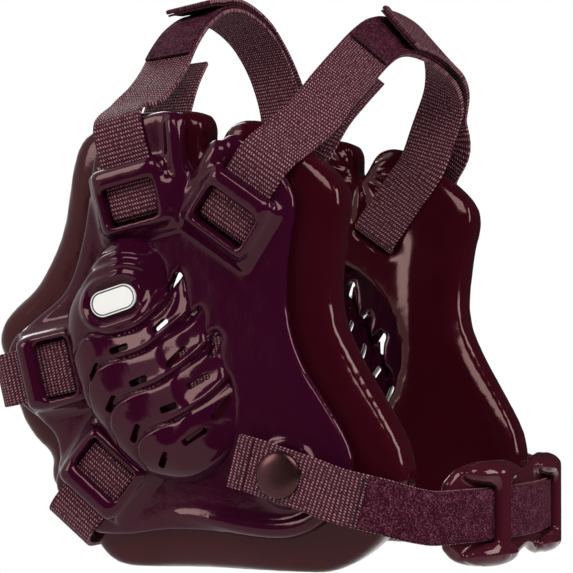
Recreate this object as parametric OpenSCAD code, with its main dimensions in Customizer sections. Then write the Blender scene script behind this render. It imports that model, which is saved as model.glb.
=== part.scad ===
// Wrestling headgear: two mirrored ear cups on webbing straps, with a chin strap.
// Frame: the wearer faces -Y, +Z is up, the right cup is at -X. It stands on its pads at z = 0.
// In a cup's own plane u points forward, v points up and w points outward from the head.

/* [Cups] */
// Half the distance between the middles of the two pads, at ear height
cup_half = 75; // [68:0.5:82]
// Lean of each cup, with the bottom inwards, in degrees
cant = 4; // [2:0.5:6]
// Height of the cup's origin above the lowest point of the pad's outline
pad_drop = 90; // [88:0.5:92]
// Distance of the cup's origin behind the part's origin
cup_back = 22.4; // [18.4:0.2:26.4]
// Depth of foam on the head side of the pad's middle
pad_inner = 12; // [9:0.5:15]
// Depth of foam on the outer side of the pad's middle
pad_outer = 6; // [4:0.5:8]
// How far the pad's rounded edge draws in
pad_round = 5; // [3:0.5:6]
// Depth of the flat that the pad stands on
foot_cut = 0.5; // [0.3:0.1:1]
// Half width of the ear opening
ear_half_u = 33; // [28:1:35]
// Half height of the ear opening
ear_half_v = 37; // [32:1:40]
// Thickness of the skin on the pad's inner face
liner_t = 1; // [0.6:0.1:1.5]
// Thickness of the stiff insert under the cover
guard_t = 1.5; // [1:0.1:2]
// How far the insert stays inside the cover's outline
guard_inset = 3; // [2:0.5:4]

/* [Covers] */
// Thickness of the cover away from the dome
shell_t = 4.6; // [3.5:0.1:6]
// Rounding of the cover's outer edge
shell_round = 2.4; // [1:0.1:3]
// Rise of the ear dome above the cover
dome_rise = 12.5; // [9:0.5:15]
// Wall of the ear dome
dome_wall = 2.4; // [1.6:0.1:3]
// Width of a vent slot
vent_w = 1.9; // [1.2:0.1:2.6]
// Half length of the oval badge
badge_half_u = 8.6; // [7:0.2:10]
// Half height of the oval badge
badge_half_v = 4.3; // [3:0.1:5.5]
// Thickness of the badge
badge_t = 1.2; // [0.8:0.1:2]
// Radius of the round chin boss
boss_r = 11.6; // [10:0.2:13]
// Height of the boss above the cover
boss_rise = 2; // [1:0.2:4]

/* [Strap loops] */
// Height of a loop's frame above the cover
frame_rise = 5.6; // [5:0.1:8]
// Width of the bars beside the window
frame_side = 3.4; // [2.5:0.1:5]
// Width of the bridge over the strap
bridge_w = 6; // [4:0.5:8]
// Length of the window along the strap
window_l = 13; // [11:0.5:15]
// Length of the slot through the cup, along the strap
slot_l = 5.2; // [5:0.1:5.6]

/* [Webbing] */
// Width of the webbing
strap_w = 19; // [17:0.5:20]
// Thickness of the webbing
strap_t = 1.6; // [1.2:0.1:1.8]
// Thickness of the loop pile
pile_t = 0.9; // [0.5:0.1:1.1]
// Thickness of the hook tape
hook_t = 0.7; // [0.4:0.1:0.9]
// Gap between one layer and the next
layer_gap = 0.3; // [0.2:0.05:0.4]
// Width that the pile and hook tapes stay inside the webbing, in all
patch_in = 1.4; // [0.8:0.2:3]

/* [Chin strap] */
// Radius of the chin strap's arc
chin_r = 150; // [146:1:154]
// Height of the chin strap at the chin cup
chin_z = 19; // [18.7:0.1:21]
// Thickness of the chin cup's plate
chin_plate_t = 3.4; // [2.4:0.1:4]
// Depth of the chin cup's raised bars
chin_bar_t = 4; // [3:0.2:5]
// Angle of each bar from the middle
chin_bar_at = 12.7; // [12:0.1:13.5]
// Diameter of the snap cap
cap_d = 16; // [14:0.5:17]
// Thickness of the snap cap
cap_t = 2.2; // [1.6:0.1:2.6]
// Diameter of the snap stud's head
stud_d = 5.2; // [4:0.1:6]
// Clearance round the stud's head
stud_gap = 0.3; // [0.2:0.05:0.5]

/* [Hidden] */

maroon = "#3a0c20";
glossy = "#4a1028";
webbing = "#5a2434";
pile = "#4a1830";

// Sides and steps of the curves
curve_n = 2;
round_n = 32;
eps = 0.01;

// Levels along w, from the head outwards
liner_w = -pad_inner - layer_gap;
guard_w = pad_outer + layer_gap;
shell_w = guard_w + guard_t + layer_gap;
shell_top = shell_w + shell_t;
frame_top = shell_top + frame_rise;
strap_w_out = shell_top + layer_gap + strap_t / 2;
strap_w_in = liner_w - liner_t - 2 * layer_gap - strap_t / 2;
cup_z = pad_drop * cos(cant) - foot_cut - 0.2;

// Outline of the pad: back top horn, down the rear, along the bottom, up the front
pad_points = [
    [-9, 69.5], [-20, 66], [-28, 60], [-32, 49], [-35, 34], [-39, 23], [-47, 10], [-56, 2],
    [-61, -4], [-62.5, -11], [-60, -18], [-57, -29], [-54, -38], [-49, -45.5],
    [-43.5, -51], [-43.5, -58.5], [-39.6, -65], [-29.8, -76], [-21, -87], [-10, -90], [6, -89],
    [24, -89], [42, -90], [58, -90], [71, -85.5], [83, -75], [90, -60], [88.5, -46], [80, -30],
    [72, -16], [66.5, -2], [66, 12], [67.5, 26], [69.5, 37], [66, 46], [53, 56], [41.5, 63],
    [31.5, 64.5], [25.5, 61.5], [21.5, 56.5], [17.5, 54], [13.5, 60], [7, 68], [-1, 70]
];
// Outline of the cover, the same way round
shell_points = [
    [-8, 66.5], [-15, 62], [-19, 54], [-21, 42], [-24.5, 25], [-31, 9], [-43, -1], [-52.5, -8.5],
    [-55, -18], [-51.5, -30], [-43, -37], [-37, -43], [-35.5, -51], [-37.5, -60], [-33, -69],
    [-24, -76], [-10, -77], [5, -75], [22, -75], [40, -77], [54, -76], [66, -68], [73.5, -55],
    [72.5, -44], [64, -29], [57, -18], [52.5, -5], [51.5, 10], [53.5, 26], [55.5, 37], [51.5, 47],
    [42, 55], [32.5, 57.5], [25, 51.5], [18, 48], [13, 53.5], [9, 62], [2, 67]
];
// Outline of the ear dome
dome_points = [
    [7, 26], [-4, 25], [-14, 20], [-22, 11], [-27, 2], [-28, -6], [-26.5, -15], [-25, -22],
    [-21, -30], [-16, -37], [-10, -45], [-3, -52], [6, -56], [16, -57], [26, -54], [33, -46],
    [35, -38], [34, -27], [31, -16], [29, -6], [23.5, 4], [17, 17]
];
dome_mid = [3, -15];
ear_mid = [7, -17];
// Vent slots: u, v, angle, length
vents = [
    [-5, -11, 17, 6.5], [-15, -19, 58, 5.7], [15, -14, 52, 7], [2, -22, 20, 6.3],
    [-9, -30, 58, 5.7], [29, -11, 75, 7.5], [24.5, -22, 40, 5.8], [13, -31, 20, 5.8],
    [0, -40, 65, 6], [21, -41, 35, 7.5], [31.5, -31, 65, 8], [10, -49, 60, 5.4],
    [9.3, -3.3, 50, 5.6], [16, 11, 70, 6.5]
];
badge_mid = [-7, 5.5];
badge_turn = 17;

// Strap loops: u and v of the window's middle, and the way the strap leaves
rear_crown_loop = [-2.5, 38.5, 103];
front_crown_loop = [32, 33, 55];
upper_back_loop = [-33, -18.5, 192];
lower_back_loop = [-15.5, -53.5, 230];
loops = [rear_crown_loop, front_crown_loop, upper_back_loop, lower_back_loop];
thread_a = -window_l / 2 + strap_t / 2 + 0.5;
strap_room = 0.8;
seat_gap = 0.04;

// Smooth curve through points
function spline(a, b, c, d, t) =
    0.5 * ((2 * b) + (c - a) * t + (2 * a - 5 * b + 4 * c - d) * t * t
        + (3 * b - a - 3 * c + d) * t * t * t);
function closed_curve(p, n) = [
    for (i = [0 : len(p) - 1]) for (j = [0 : n - 1])
        spline(p[(i + len(p) - 1) % len(p)], p[i], p[(i + 1) % len(p)], p[(i + 2) % len(p)], j / n)
];
function open_curve(p, n) = [
    for (i = [0 : len(p) - 2]) for (j = [0 : (i == len(p) - 2 ? n : n - 1)])
        spline(p[max(i - 1, 0)], p[i], p[i + 1], p[min(i + 2, len(p) - 1)], j / n)
];
function unit(v) = v / norm(v);
// An outline that runs anticlockwise, drawn in by d
function drawn_in(p, d) = [
    for (i = [0 : len(p) - 1])
        let (t = unit(p[(i + 1) % len(p)] - p[(i + len(p) - 1) % len(p)]))
            p[i] + d * [-t[1], t[0]]
];
function scaled_about(p, c, s) = [for (q = p) c + s * (q - c)];
function oval(c, a, b, n) = [for (i = [0 : n - 1]) c + [a * cos(360 * i / n), b * sin(360 * i / n)]];

// A solid through rings of points, each ring a flat outline at its own height
module loft(rings, heights) {
    n = len(rings[0]);
    last = len(rings) - 1;
    points = [for (r = [0 : last]) for (q = rings[r]) [q[0], q[1], heights[r]]];
    sides = [
        for (r = [0 : last - 1]) for (i = [0 : n - 1])
            let (a = r * n + i, b = r * n + (i + 1) % n)
                each [[a, b + n, b], [a, a + n, b + n]]
    ];
    polyhedron(points, concat(
        sides,
        [[for (i = [0 : n - 1]) i]],
        [[for (i = [0 : n - 1]) last * n + n - 1 - i]]
    ));
}

// Placing of a cup: side -1 is the wearer's right, +1 the left
module on_cup(side) {
    mirror([side > 0 ? 1 : 0, 0, 0])
        translate([-cup_half, cup_back, cup_z])
            rotate([0, -cant, 0]) rotate([90, 0, -90]) children();
}
function cup_point(side, u, v, w) = [
    side * (cup_half + v * sin(cant) + w * cos(cant)),
    cup_back - u,
    cup_z + v * cos(cant) - w * sin(cant)
];
// Place and width direction on a loop: a runs the way the strap leaves, b across it
function loop_point(side, lp, a, w) =
    cup_point(side, lp[0] + a * cos(lp[2]), lp[1] + a * sin(lp[2]), w);
function loop_across(side, lp) =
    [-side * cos(lp[2]) * sin(cant), -sin(lp[2]), -cos(lp[2]) * cos(cant)];

module slots(from, to) {
    for (lp = loops)
        translate([lp[0], lp[1], from]) rotate([0, 0, lp[2]])
            translate([-window_l / 2 - eps, -strap_w / 2 - strap_room, 0])
                cube([slot_l, strap_w + 2 * strap_room, to - from]);
}
module ear_hole(from, to) {
    translate([0, 0, from]) linear_extrude(to - from)
        polygon(oval(ear_mid, ear_half_u, ear_half_v, 48));
}

// Foam pads
pad_curve = closed_curve(pad_points, curve_n);
module pad(side) {
    color(maroon) difference() {
        on_cup(side) difference() {
            loft([
                drawn_in(pad_curve, pad_round), drawn_in(pad_curve, pad_round * 0.3), pad_curve,
                pad_curve, drawn_in(pad_curve, pad_round * 0.3), drawn_in(pad_curve, pad_round)
            ], [
                -pad_inner, -pad_inner + pad_round * 0.3, -pad_inner + pad_round,
                pad_outer - pad_round, pad_outer - pad_round * 0.3, pad_outer
            ]);
            ear_hole(-pad_inner - 1, pad_outer + 1);
            slots(-pad_inner - 1, pad_outer + 1);
        }
        translate([-2 * cup_half, -150, -20]) cube([4 * cup_half, 300, 20]);
    }
}
module right_pad() { pad(-1); }
module left_pad() { pad(1); }

// Skins on the pads' inner faces
module liner(side) {
    color(glossy) on_cup(side) difference() {
        translate([0, 0, liner_w - liner_t]) linear_extrude(liner_t)
            polygon(drawn_in(pad_curve, pad_round + 0.4));
        ear_hole(liner_w - liner_t - 1, liner_w + 1);
        slots(liner_w - liner_t - 1, liner_w + 1);
    }
}
module right_liner() { liner(-1); }
module left_liner() { liner(1); }

// Stiff inserts between the pads and the covers
shell_curve = closed_curve(shell_points, curve_n);
module guard(side) {
    color("#202020") on_cup(side) difference() {
        translate([0, 0, guard_w]) linear_extrude(guard_t)
            polygon(drawn_in(shell_curve, guard_inset));
        ear_hole(guard_w - 1, guard_w + guard_t + 1);
        slots(guard_w - 1, guard_w + guard_t + 1);
    }
}
module right_guard() { guard(-1); }
module left_guard() { guard(1); }

// Covers with the dome, the vents, the strap loops and the chin boss
dome_curve = closed_curve(dome_points, curve_n);
dome_steps = [[1, 0], [0.975, 0.3], [0.9, 0.64], [0.74, 0.87], [0.5, 0.97], [0.2, 1]];
module dome_form(less, from) {
    rings = concat([scaled_about(dome_curve, dome_mid, 1 - less / 30)],
        [for (s = dome_steps) scaled_about(dome_curve, dome_mid, s[0] - less / 30)]);
    loft(rings, concat([from], [for (s = dome_steps) shell_top - 0.5 + s[1] * dome_rise - less]));
}
module slot_hole(length, width, depth) {
    hull() for (s = [-1, 1]) translate([s * (length - width) / 2, 0, -depth / 2])
        cylinder(d = width, h = depth, $fn = 12);
}
frame_corner = 4;
frame_edge = 2;
module loop_frame(lp) {
    room_b = strap_w / 2 + strap_room;
    half_b = room_b + frame_side;
    low = -window_l / 2 - frame_side;
    high = window_l / 2 + bridge_w;
    r = frame_corner;
    steps = [[0, shell_top - 1], [frame_edge / 4, frame_top - frame_edge * 0.8], [frame_edge, frame_top]];
    translate([lp[0], lp[1], 0]) rotate([0, 0, lp[2]]) difference() {
        hull() for (s = steps) for (a = [low + r, high - r], b = [r - half_b, half_b - r])
            translate([a, b, s[1] - 0.1]) cylinder(r = r - s[0], h = 0.1, $fn = 16);
        translate([-window_l / 2, -room_b, shell_top - frame_edge])
            cube([window_l, 2 * room_b, 3 * frame_rise]);
        translate([0, -room_b, shell_top - frame_edge])
            cube([2 * window_l, 2 * room_b, frame_edge + strap_t + 3 * layer_gap]);
    }
}
snap_u = 51;
snap_v = -54;
boss_x = cup_half + snap_v * sin(cant) + (shell_top + boss_rise) * cos(cant);
snap_z = cup_z + snap_v * cos(cant) - (shell_top + boss_rise) * sin(cant);
module along_x(side, from) {
    translate([side * from, cup_back - snap_u, snap_z]) rotate([0, side * 90, 0]) children();
}
module shell(side) {
    color(glossy) {
        difference() {
            union() {
                on_cup(side) {
                    loft([
                        shell_curve, shell_curve, drawn_in(shell_curve, shell_round * 0.3),
                        drawn_in(shell_curve, shell_round)
                    ], [
                        shell_w, shell_top - shell_round, shell_top - shell_round * 0.3, shell_top
                    ]);
                    dome_form(0, shell_w + 1);
                    for (lp = loops) loop_frame(lp);
                }
                along_x(side, boss_x - boss_rise - 3) {
                    cylinder(r = boss_r, h = boss_rise + 2, $fn = 40);
                    cylinder(r = boss_r - 1, h = boss_rise + 3, $fn = 40);
                }
            }
            on_cup(side) {
                dome_form(dome_wall, shell_w - 1);
                slots(shell_w - 1, frame_top + 1);
                for (q = vents) translate([q[0], q[1], shell_top + 7]) rotate([0, 0, q[2]])
                    slot_hole(q[3], vent_w, 26);
                translate([badge_mid[0], badge_mid[1], shell_top + dome_rise - badge_t - 0.8])
                    rotate([0, 0, badge_turn]) linear_extrude(10)
                        polygon(oval([0, 0], badge_half_u + 0.4, badge_half_v + 0.4, 32));
            }
        }
    }
}
module right_shell() { shell(-1); }
module left_shell() { shell(1); }

// Oval badges, left blank
module badge(side) {
    color("white") on_cup(side)
        translate([badge_mid[0], badge_mid[1], shell_top + dome_rise - badge_t - 0.5])
            rotate([0, 0, badge_turn]) linear_extrude(badge_t)
                polygon(oval([0, 0], badge_half_u, badge_half_v, 48));
}
module right_badge() { badge(-1); }
module left_badge() { badge(1); }

// Chin snaps: stud on the boss, socket and cap on the webbing
stud_flange = 0.8;
stud_h = 3.6;
socket_from = boss_x + stud_flange + layer_gap;
socket_t = stud_h + layer_gap - stud_flange;
chin_x = socket_from + socket_t + seat_gap + strap_t / 2;
module stud(side) {
    color("silver") along_x(side, boss_x) {
        cylinder(d = stud_d * 2, h = stud_flange, $fn = round_n);
        cylinder(d = stud_d * 0.75, h = stud_h, $fn = round_n);
        translate([0, 0, stud_h * 0.55]) cylinder(d = stud_d, h = stud_h * 0.45, $fn = round_n);
    }
}
module socket(side) {
    color("silver") along_x(side, socket_from) difference() {
        cylinder(d = cap_d - 3, h = socket_t, $fn = round_n);
        translate([0, 0, -1]) cylinder(d = stud_d + 2 * stud_gap, h = socket_t + 2, $fn = round_n);
    }
}
module cap(side) {
    color("#3a2620") along_x(side, chin_x + strap_t / 2 + seat_gap) {
        cylinder(d = cap_d, h = cap_t * 0.5, $fn = round_n);
        translate([0, 0, cap_t * 0.5]) cylinder(d1 = cap_d, d2 = cap_d - 5, h = cap_t * 0.5, $fn = 48);
    }
}
module right_snap_stud() { stud(-1); }
module left_snap_stud() { stud(1); }
module right_snap_socket() { socket(-1); }
module left_snap_socket() { socket(1); }
module right_snap_cap() { cap(-1); }
module left_snap_cap() { cap(1); }

// A flat band along a path: each row is a centre point and a width direction
function row_point(r) = [r[0], r[1], r[2]];
function row_across(r) = [r[3], r[4], r[5]];
function band_frame(path, i) =
    let (t = unit(row_point(path[min(i + 1, len(path) - 1)]) - row_point(path[max(i - 1, 0)])),
        k = row_across(path[i]),
        b = unit(k - (k * t) * t))
            [b, cross(b, t)];
module band(path, width, thick, off) {
    n = len(path);
    points = [
        for (i = [0 : n - 1])
            let (f = band_frame(path, i), c = row_point(path[i]) + off * f[1])
                for (q = [[-1, -1], [1, -1], [1, 1], [-1, 1]])
                    c + q[0] * width / 2 * f[0] + q[1] * thick / 2 * f[1]
    ];
    sides = [
        for (i = [0 : n - 2]) for (k = [0 : 3])
            let (a = 4 * i + k, b = 4 * i + (k + 1) % 4) each [[a, b, b + 4], [a, b + 4, a + 4]]
    ];
    e = 4 * (n - 1);
    polyhedron(points, concat(sides, [[3, 2, 1, 0]], [[e, e + 1, e + 2, e + 3]]));
}
function slice(p, from, to) = [for (i = [from : to]) p[i]];
// The row at place x of a path, lifted by off along the band's normal
function lifted(path, x, off) =
    let (i = floor(x), row = path[i] + (x - i) * (path[i + 1] - path[i]), f = band_frame(path, i),
        c = row_point(row) + off * f[1])
            concat(c, f[0]);

// Rows of a strap on a cup: a list of [a, w] places on one loop
function on_loop(side, lp, places, turn) = [
    for (q = places) concat(loop_point(side, lp, q[0], q[1]), turn * loop_across(side, lp))
];
// A row between the cups: x as a share of the half spacing, y and z from the cup's origin
function span_row(x, y, z, across) = concat([x * cup_half, cup_back + y, cup_z + z], across);
wi = strap_w_in;
wo = strap_w_out;
inside_up = [
    [19, wi], [12, wi], [5, wi], [0, wi], [thread_a + 2.4, wi + 0.3], [thread_a + 1.1, wi + 1.2],
    [thread_a + 0.2, wi + 2.8]
];
through = [[thread_a, wi + 6], [thread_a, 0], [thread_a, wo - 6]];
outside_up = [
    [thread_a + 0.2, wo - 2.8], [thread_a + 1.1, wo - 1.2], [thread_a + 2.4, wo - 0.3],
    [0, wo], [5, wo], [10, wo], [16, wo]
];
function reversed(p) = [for (i = [len(p) - 1 : -1 : 0]) p[i]];
cup_run = concat(inside_up, through, outside_up);

// Front crown strap, from its inner end by the right cup to its outer end over the middle
front_over = [[22, wo], [27.5, wo - 3.6], [31.5, wo - 9.5]];
front_right = on_loop(-1, front_crown_loop, concat(cup_run, front_over), 1);
front_left = on_loop(1, front_crown_loop, concat(cup_run, front_over), 1);
front_start = [
    span_row(-0.32, -57, 87.9, [0, -0.66, -0.75]),
    span_row(-0.507, -56, 80.4, [0, -0.68, -0.73]),
    span_row(-0.68, -53, 70.4, [0, -0.74, -0.67]),
    span_row(-0.787, -48, 56.9, [0, -0.8, -0.6]),
];
front_arc = [
    span_row(-0.96, -55.5, 66.9, [0, -0.76, -0.65]),
    span_row(-0.8, -58, 76.4, [0, -0.74, -0.67]),
    span_row(-0.587, -59.5, 85.9, [0, -0.7, -0.71]),
    span_row(-0.32, -59.5, 95.4, [0, -0.67, -0.74]),
    span_row(-0.053, -58.5, 101.4, [0, -0.64, -0.77]),
    span_row(0.213, -58.5, 102.9, [0, -0.64, -0.77]),
    span_row(0.507, -59.5, 100.4, [0, -0.66, -0.75]),
    span_row(0.733, -60, 94.4, [0, -0.7, -0.71]),
    span_row(0.867, -58, 84.4, [0, -0.74, -0.67]),
    span_row(0.887, -53.5, 71.9, [0, -0.78, -0.62]),
];
front_in = on_loop(1, front_crown_loop, [[30, wi]], 1);
arc_n = 3;
front_top = open_curve(slice(front_arc, 1, 9), 4);
function inset_band(x) = x - patch_in;
pile_off = strap_t / 2 + layer_gap + pile_t / 2;
hook_off = pile_off + pile_t / 2 + layer_gap + hook_t / 2;
tail_off = hook_off + hook_t / 2 + layer_gap + strap_t / 2;
front_end = concat(
    [span_row(1.04, -56.5, 67.4, [0, -0.78, -0.62])],
    [for (q = [[30, 3], [27, 0], [24, 0], [21.1, 0]]) lifted(front_top, q[0], tail_off + q[1])]
);
front_path = open_curve(concat(front_start, front_right, front_arc, front_in, front_left, front_end), arc_n);

module front_crown_strap() { color(webbing) band(front_path, strap_w, strap_t, 0); }
module front_loop_patch() {
    color(pile) band(slice(front_top, 7, 21), inset_band(strap_w), pile_t, pile_off);
}
module front_crown_tail() { color(webbing) band(slice(front_top, 12, 21), strap_w, strap_t, tail_off); }
module front_hook_patch() {
    color(pile) band(slice(front_top, 12, 20), inset_band(strap_w), hook_t, hook_off);
}

// Rear crown strap
rear_over = [[24.5, wo], [30, wo - 1], [34, wo - 7.5]];
rear_right = on_loop(-1, rear_crown_loop, concat(cup_run, rear_over), 1);
rear_left = on_loop(1, rear_crown_loop, concat(cup_run, rear_over), 1);
rear_start = [
    span_row(-0.48, 8, 90.4, [0, -0.98, 0.1]),
    span_row(-0.613, 7.5, 81.9, [0, -0.98, 0.06]),
    span_row(-0.713, 7, 72.9, [0, -0.98, 0]),
    span_row(-0.787, 6.5, 64.9, [0, -0.98, -0.08]),
];
rear_arc = [
    span_row(-1.027, 8, 72.4, [0, -0.98, 0.02]),
    span_row(-0.893, 7, 78.9, [0, -0.98, 0.04]),
    span_row(-0.733, 8, 86.9, [0, -0.98, 0.07]),
    span_row(-0.547, 10, 96.4, [0, -0.98, 0.12]),
    span_row(-0.32, 12, 105.4, [0, -0.98, 0.16]),
    span_row(-0.053, 13, 112.4, [0, -0.98, 0.19]),
    span_row(0.213, 13, 113.4, [0, -0.98, 0.19]),
    span_row(0.48, 12, 108.4, [0, -0.98, 0.16]),
    span_row(0.68, 11, 98.9, [0, -0.98, 0.1]),
    span_row(0.78, 9.5, 87.9, [0, -0.98, 0.02]),
    span_row(0.82, 8.5, 77.9, [0, -0.98, -0.03])
];
rear_in = on_loop(1, rear_crown_loop, [[28, wi - 1.5]], 1);
rear_top = open_curve(slice(rear_arc, 2, 10), 4);
rear_end = concat(
    [span_row(1.02, 9, 73.9, [0, -0.98, 0.02])],
    [for (q = [[30, 4], [27, 1], [24, 0], [21.1, 0]]) lifted(rear_top, q[0], tail_off + q[1])]
);
rear_path = open_curve(concat(rear_start, rear_right, rear_arc, rear_in, rear_left, rear_end), arc_n);
module rear_crown_strap() { color(webbing) band(rear_path, strap_w, strap_t, 0); }
module rear_loop_patch() {
    color(pile) band(slice(rear_top, 3, 21), inset_band(strap_w), pile_t, pile_off);
}
module rear_crown_tail() { color(webbing) band(slice(rear_top, 9, 21), strap_w, strap_t, tail_off); }
module rear_hook_patch() {
    color(pile) band(slice(rear_top, 9, 20), inset_band(strap_w), hook_t, hook_off);
}

// Back straps: through the loops on both cups and across behind the head
function across_back(lp, over, middle) =
    let (half = concat(on_loop(-1, lp, concat(cup_run, over), 1), middle))
        concat(half, [for (r = reversed(half)) [-r[0], r[1], r[2], -r[3], r[4], r[5]]]);
upper_back_path = open_curve(across_back(upper_back_loop,
    [[21, wo], [25.2, wo - 3], [27.9, wo - 9.5], [28.8, wo - 16], [29, wo - 25]],
    [
        span_row(-0.707, 65, -23.6, [0, 0.12, 0.98]),
        span_row(-0.48, 68, -24.1, [0, 0, 1]),
        span_row(-0.2, 70, -25.1, [0, 0, 1])
    ]), arc_n);
lower_back_path = open_curve(across_back(lower_back_loop,
    [[21.5, wo], [26.2, wo - 2.4], [28.9, wo - 8.5], [29.9, wo - 16], [30.6, wo - 25]],
    [
        span_row(-0.667, 41.5, -74.1, [0, 0.4, 0.9]),
        span_row(-0.48, 46.5, -74.6, [0, 0.2, 0.98]),
        span_row(-0.2, 50, -75.1, [0, 0, 1])
    ]), arc_n);
module upper_back_strap() { color(webbing) band(upper_back_path, strap_w, strap_t, 0); }
module lower_back_strap() { color(webbing) band(lower_back_path, strap_w, strap_t, 0); }

// Chin strap: level on its arc at the chin, and up each side to the snap
// Its arc keeps its two ends: a smaller radius turns further, and a larger one less
chin_end = 31;
chin_draw = 13.68;
chin_clear = 0.775;
chin_turn = asin((chin_x - chin_draw) / chin_r);
chin_mid_y = cup_back - max([for (p = pad_points) p[0]]) - chin_clear + chin_r * cos(chin_turn);
function on_chin(r, angle, z) =
    let (g = angle * chin_turn / chin_end) [r * sin(g), chin_mid_y - r * cos(g), z];
function chin_arc(angle, z) = concat(on_chin(chin_r, angle, z), [0, 0, 1]);
function chin_side(side) = [
    [side * chin_x, cup_back - 34.5, snap_z + 4.6, 0, -0.2, 0.97],
    [side * chin_x, cup_back - 43, snap_z + 2.4, 0, -0.25, 0.96],
    [side * chin_x, cup_back - snap_u, snap_z, 0, -0.27, 0.96],
    [side * chin_x, cup_back - 61, snap_z - 3, 0, -0.27, 0.96],
    [side * (chin_x - 0.4), cup_back - 71, snap_z - 6.4, 0, -0.22, 0.97],
    [side * (chin_x - 2.6), cup_back - 79.5, chin_z + 6.6, 0, -0.16, 0.98],
    [side * (chin_x - 7.5), cup_back - 85.8, chin_z + 4.6, 0, -0.1, 0.99]
];
chin_level = 25.5;
chin_path = open_curve(concat(
    chin_side(-1),
    [chin_arc(-chin_end, chin_z + 2.4), chin_arc(-28, chin_z + 0.8)],
    [for (i = [-5 : 5]) chin_arc(i * chin_level / 5, chin_z)],
    [chin_arc(28, chin_z + 0.8), chin_arc(chin_end, chin_z + 2.4)]
), arc_n);
module chin_strap() { color(webbing) band(chin_path, strap_w, strap_t, 0); }
module chin_loop_patch() {
    color(pile) band(slice(chin_path, 3 * 5, len(chin_path) - 1), inset_band(strap_w), pile_t, -pile_off);
}
function tab_arc(angle, z) = concat(on_chin(chin_r + tail_off, angle, z), [0, 0, 1]);
tab_side = chin_side(1);
tab_path = open_curve(concat(
    slice(tab_side, 0, 3),
    [
        [chin_x + 0.4, cup_back - 72, snap_z - 6.4, 0, -0.22, 0.97],
        [chin_x - 0.8, cup_back - 81.5, chin_z + 6.6, 0, -0.16, 0.98],
        [chin_x - 4.6, cup_back - 89, chin_z + 4.4, 0, -0.1, 0.99]
    ],
    [tab_arc(chin_end, chin_z + 2.2), tab_arc(28.5, chin_z + 0.9), tab_arc(26.2, chin_z)]
), arc_n);
module left_chin_tab() { color(webbing) band(tab_path, strap_w, strap_t, 0); }
module left_chin_hook() {
    color(pile) band(open_curve([for (g = [30.6, 28.8, 27, 25.8])
        concat(on_chin(chin_r + hook_off, g, chin_z + max(0, g - 27) * 0.55), [0, 0, 1])], arc_n),
        inset_band(strap_w), hook_t, 0);
}

// Chin cup: a two-lobed plate behind the strap, with two bars and two rails over it
lobes = [
    [-23, 9], [-22.2, 12.8], [-20.2, 16], [-16.5, 18], [-12.5, 18.5], [-8, 18.2],
    [-4.5, 16.8], [-2, 15], [0, 14.3], [2, 15], [4.5, 16.8], [8, 18.2], [12.5, 18.5],
    [16.5, 18], [20.2, 16], [22.2, 12.8], [23, 9]
];
function lobe_at(angle) = lookup(angle, lobes);
module arc_block(angles, r0, r1, top, bottom) {
    e = 1;
    n = len(angles);
    points = [
        for (g = angles)
            let (t = top == 0 ? lobe_at(g) : top * 1.0, b = bottom == 0 ? -lobe_at(g) : bottom * 1.0)
                for (q = [
                    [r0 + e, b], [r1 - e, b], [r1, b + e], [r1, t - e],
                    [r1 - e, t], [r0 + e, t], [r0, t - e], [r0, b + e]
                ])
                    on_chin(q[0], g, chin_z + q[1])
    ];
    sides = [
        for (i = [0 : n - 2]) for (k = [0 : 7])
            let (a = 8 * i + k, b = 8 * i + (k + 1) % 8) each [[a, b, b + 8], [a, b + 8, a + 8]]
    ];
    f = 8 * (n - 1);
    polyhedron(points, concat(sides, [[for (k = [0 : 7]) 7 - k]], [[for (k = [0 : 7]) f + k]]));
}
chin_run = 0.5;
chin_plate_out = chin_r - strap_t / 2 - chin_run;
chin_bar_in = chin_r + pile_off + pile_t / 2 + chin_run;
chin_bar_half = 1.6;
module chin_cup() {
    color(glossy) union() {
        arc_block([for (q = lobes) q[0]], chin_plate_out - chin_plate_t, chin_plate_out, 0, 0);
        for (s = [-1, 1]) {
            arc_block([for (d = [-1 : 0.5 : 1]) s * chin_bar_at + d * chin_bar_half],
                chin_bar_in, chin_bar_in + chin_bar_t, 0, 0);
            for (m = [-1, 1])
                arc_block([for (d = [-1 : 0.5 : 1]) s * chin_bar_at + d * (chin_bar_half - 0.3)],
                    chin_plate_out - 1, chin_bar_in + 2,
                    m > 0 ? lobe_at(chin_bar_at) - 0.4 : -strap_w / 2 - 0.7,
                    m > 0 ? strap_w / 2 + 0.7 : -lobe_at(chin_bar_at) + 0.4);
        }
    }
}

right_pad();
left_pad();
right_liner();
left_liner();
right_guard();
left_guard();
right_shell();
left_shell();
right_badge();
left_badge();
right_snap_stud();
left_snap_stud();
right_snap_socket();
left_snap_socket();
right_snap_cap();
left_snap_cap();
front_crown_strap();
front_loop_patch();
front_crown_tail();
front_hook_patch();
rear_crown_strap();
rear_loop_patch();
rear_crown_tail();
rear_hook_patch();
upper_back_strap();
lower_back_strap();
chin_strap();
chin_loop_patch();
chin_cup();
left_chin_tab();
left_chin_hook();
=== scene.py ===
"""Wrestling headgear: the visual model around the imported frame.

Every length in a class is in millimetres and every finished mesh is in metres, in the frame's axes:
the wearer faces -Y, +Z is up and the right cup is at -X. In a cup's own plane u points forward,
v points up and w points outward from the head.
"""

import logging
import math
from collections.abc import Callable
from dataclasses import dataclass, field
from enum import Enum

import bmesh
import bpy
import numpy as np
from mathutils import Matrix, Vector


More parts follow.
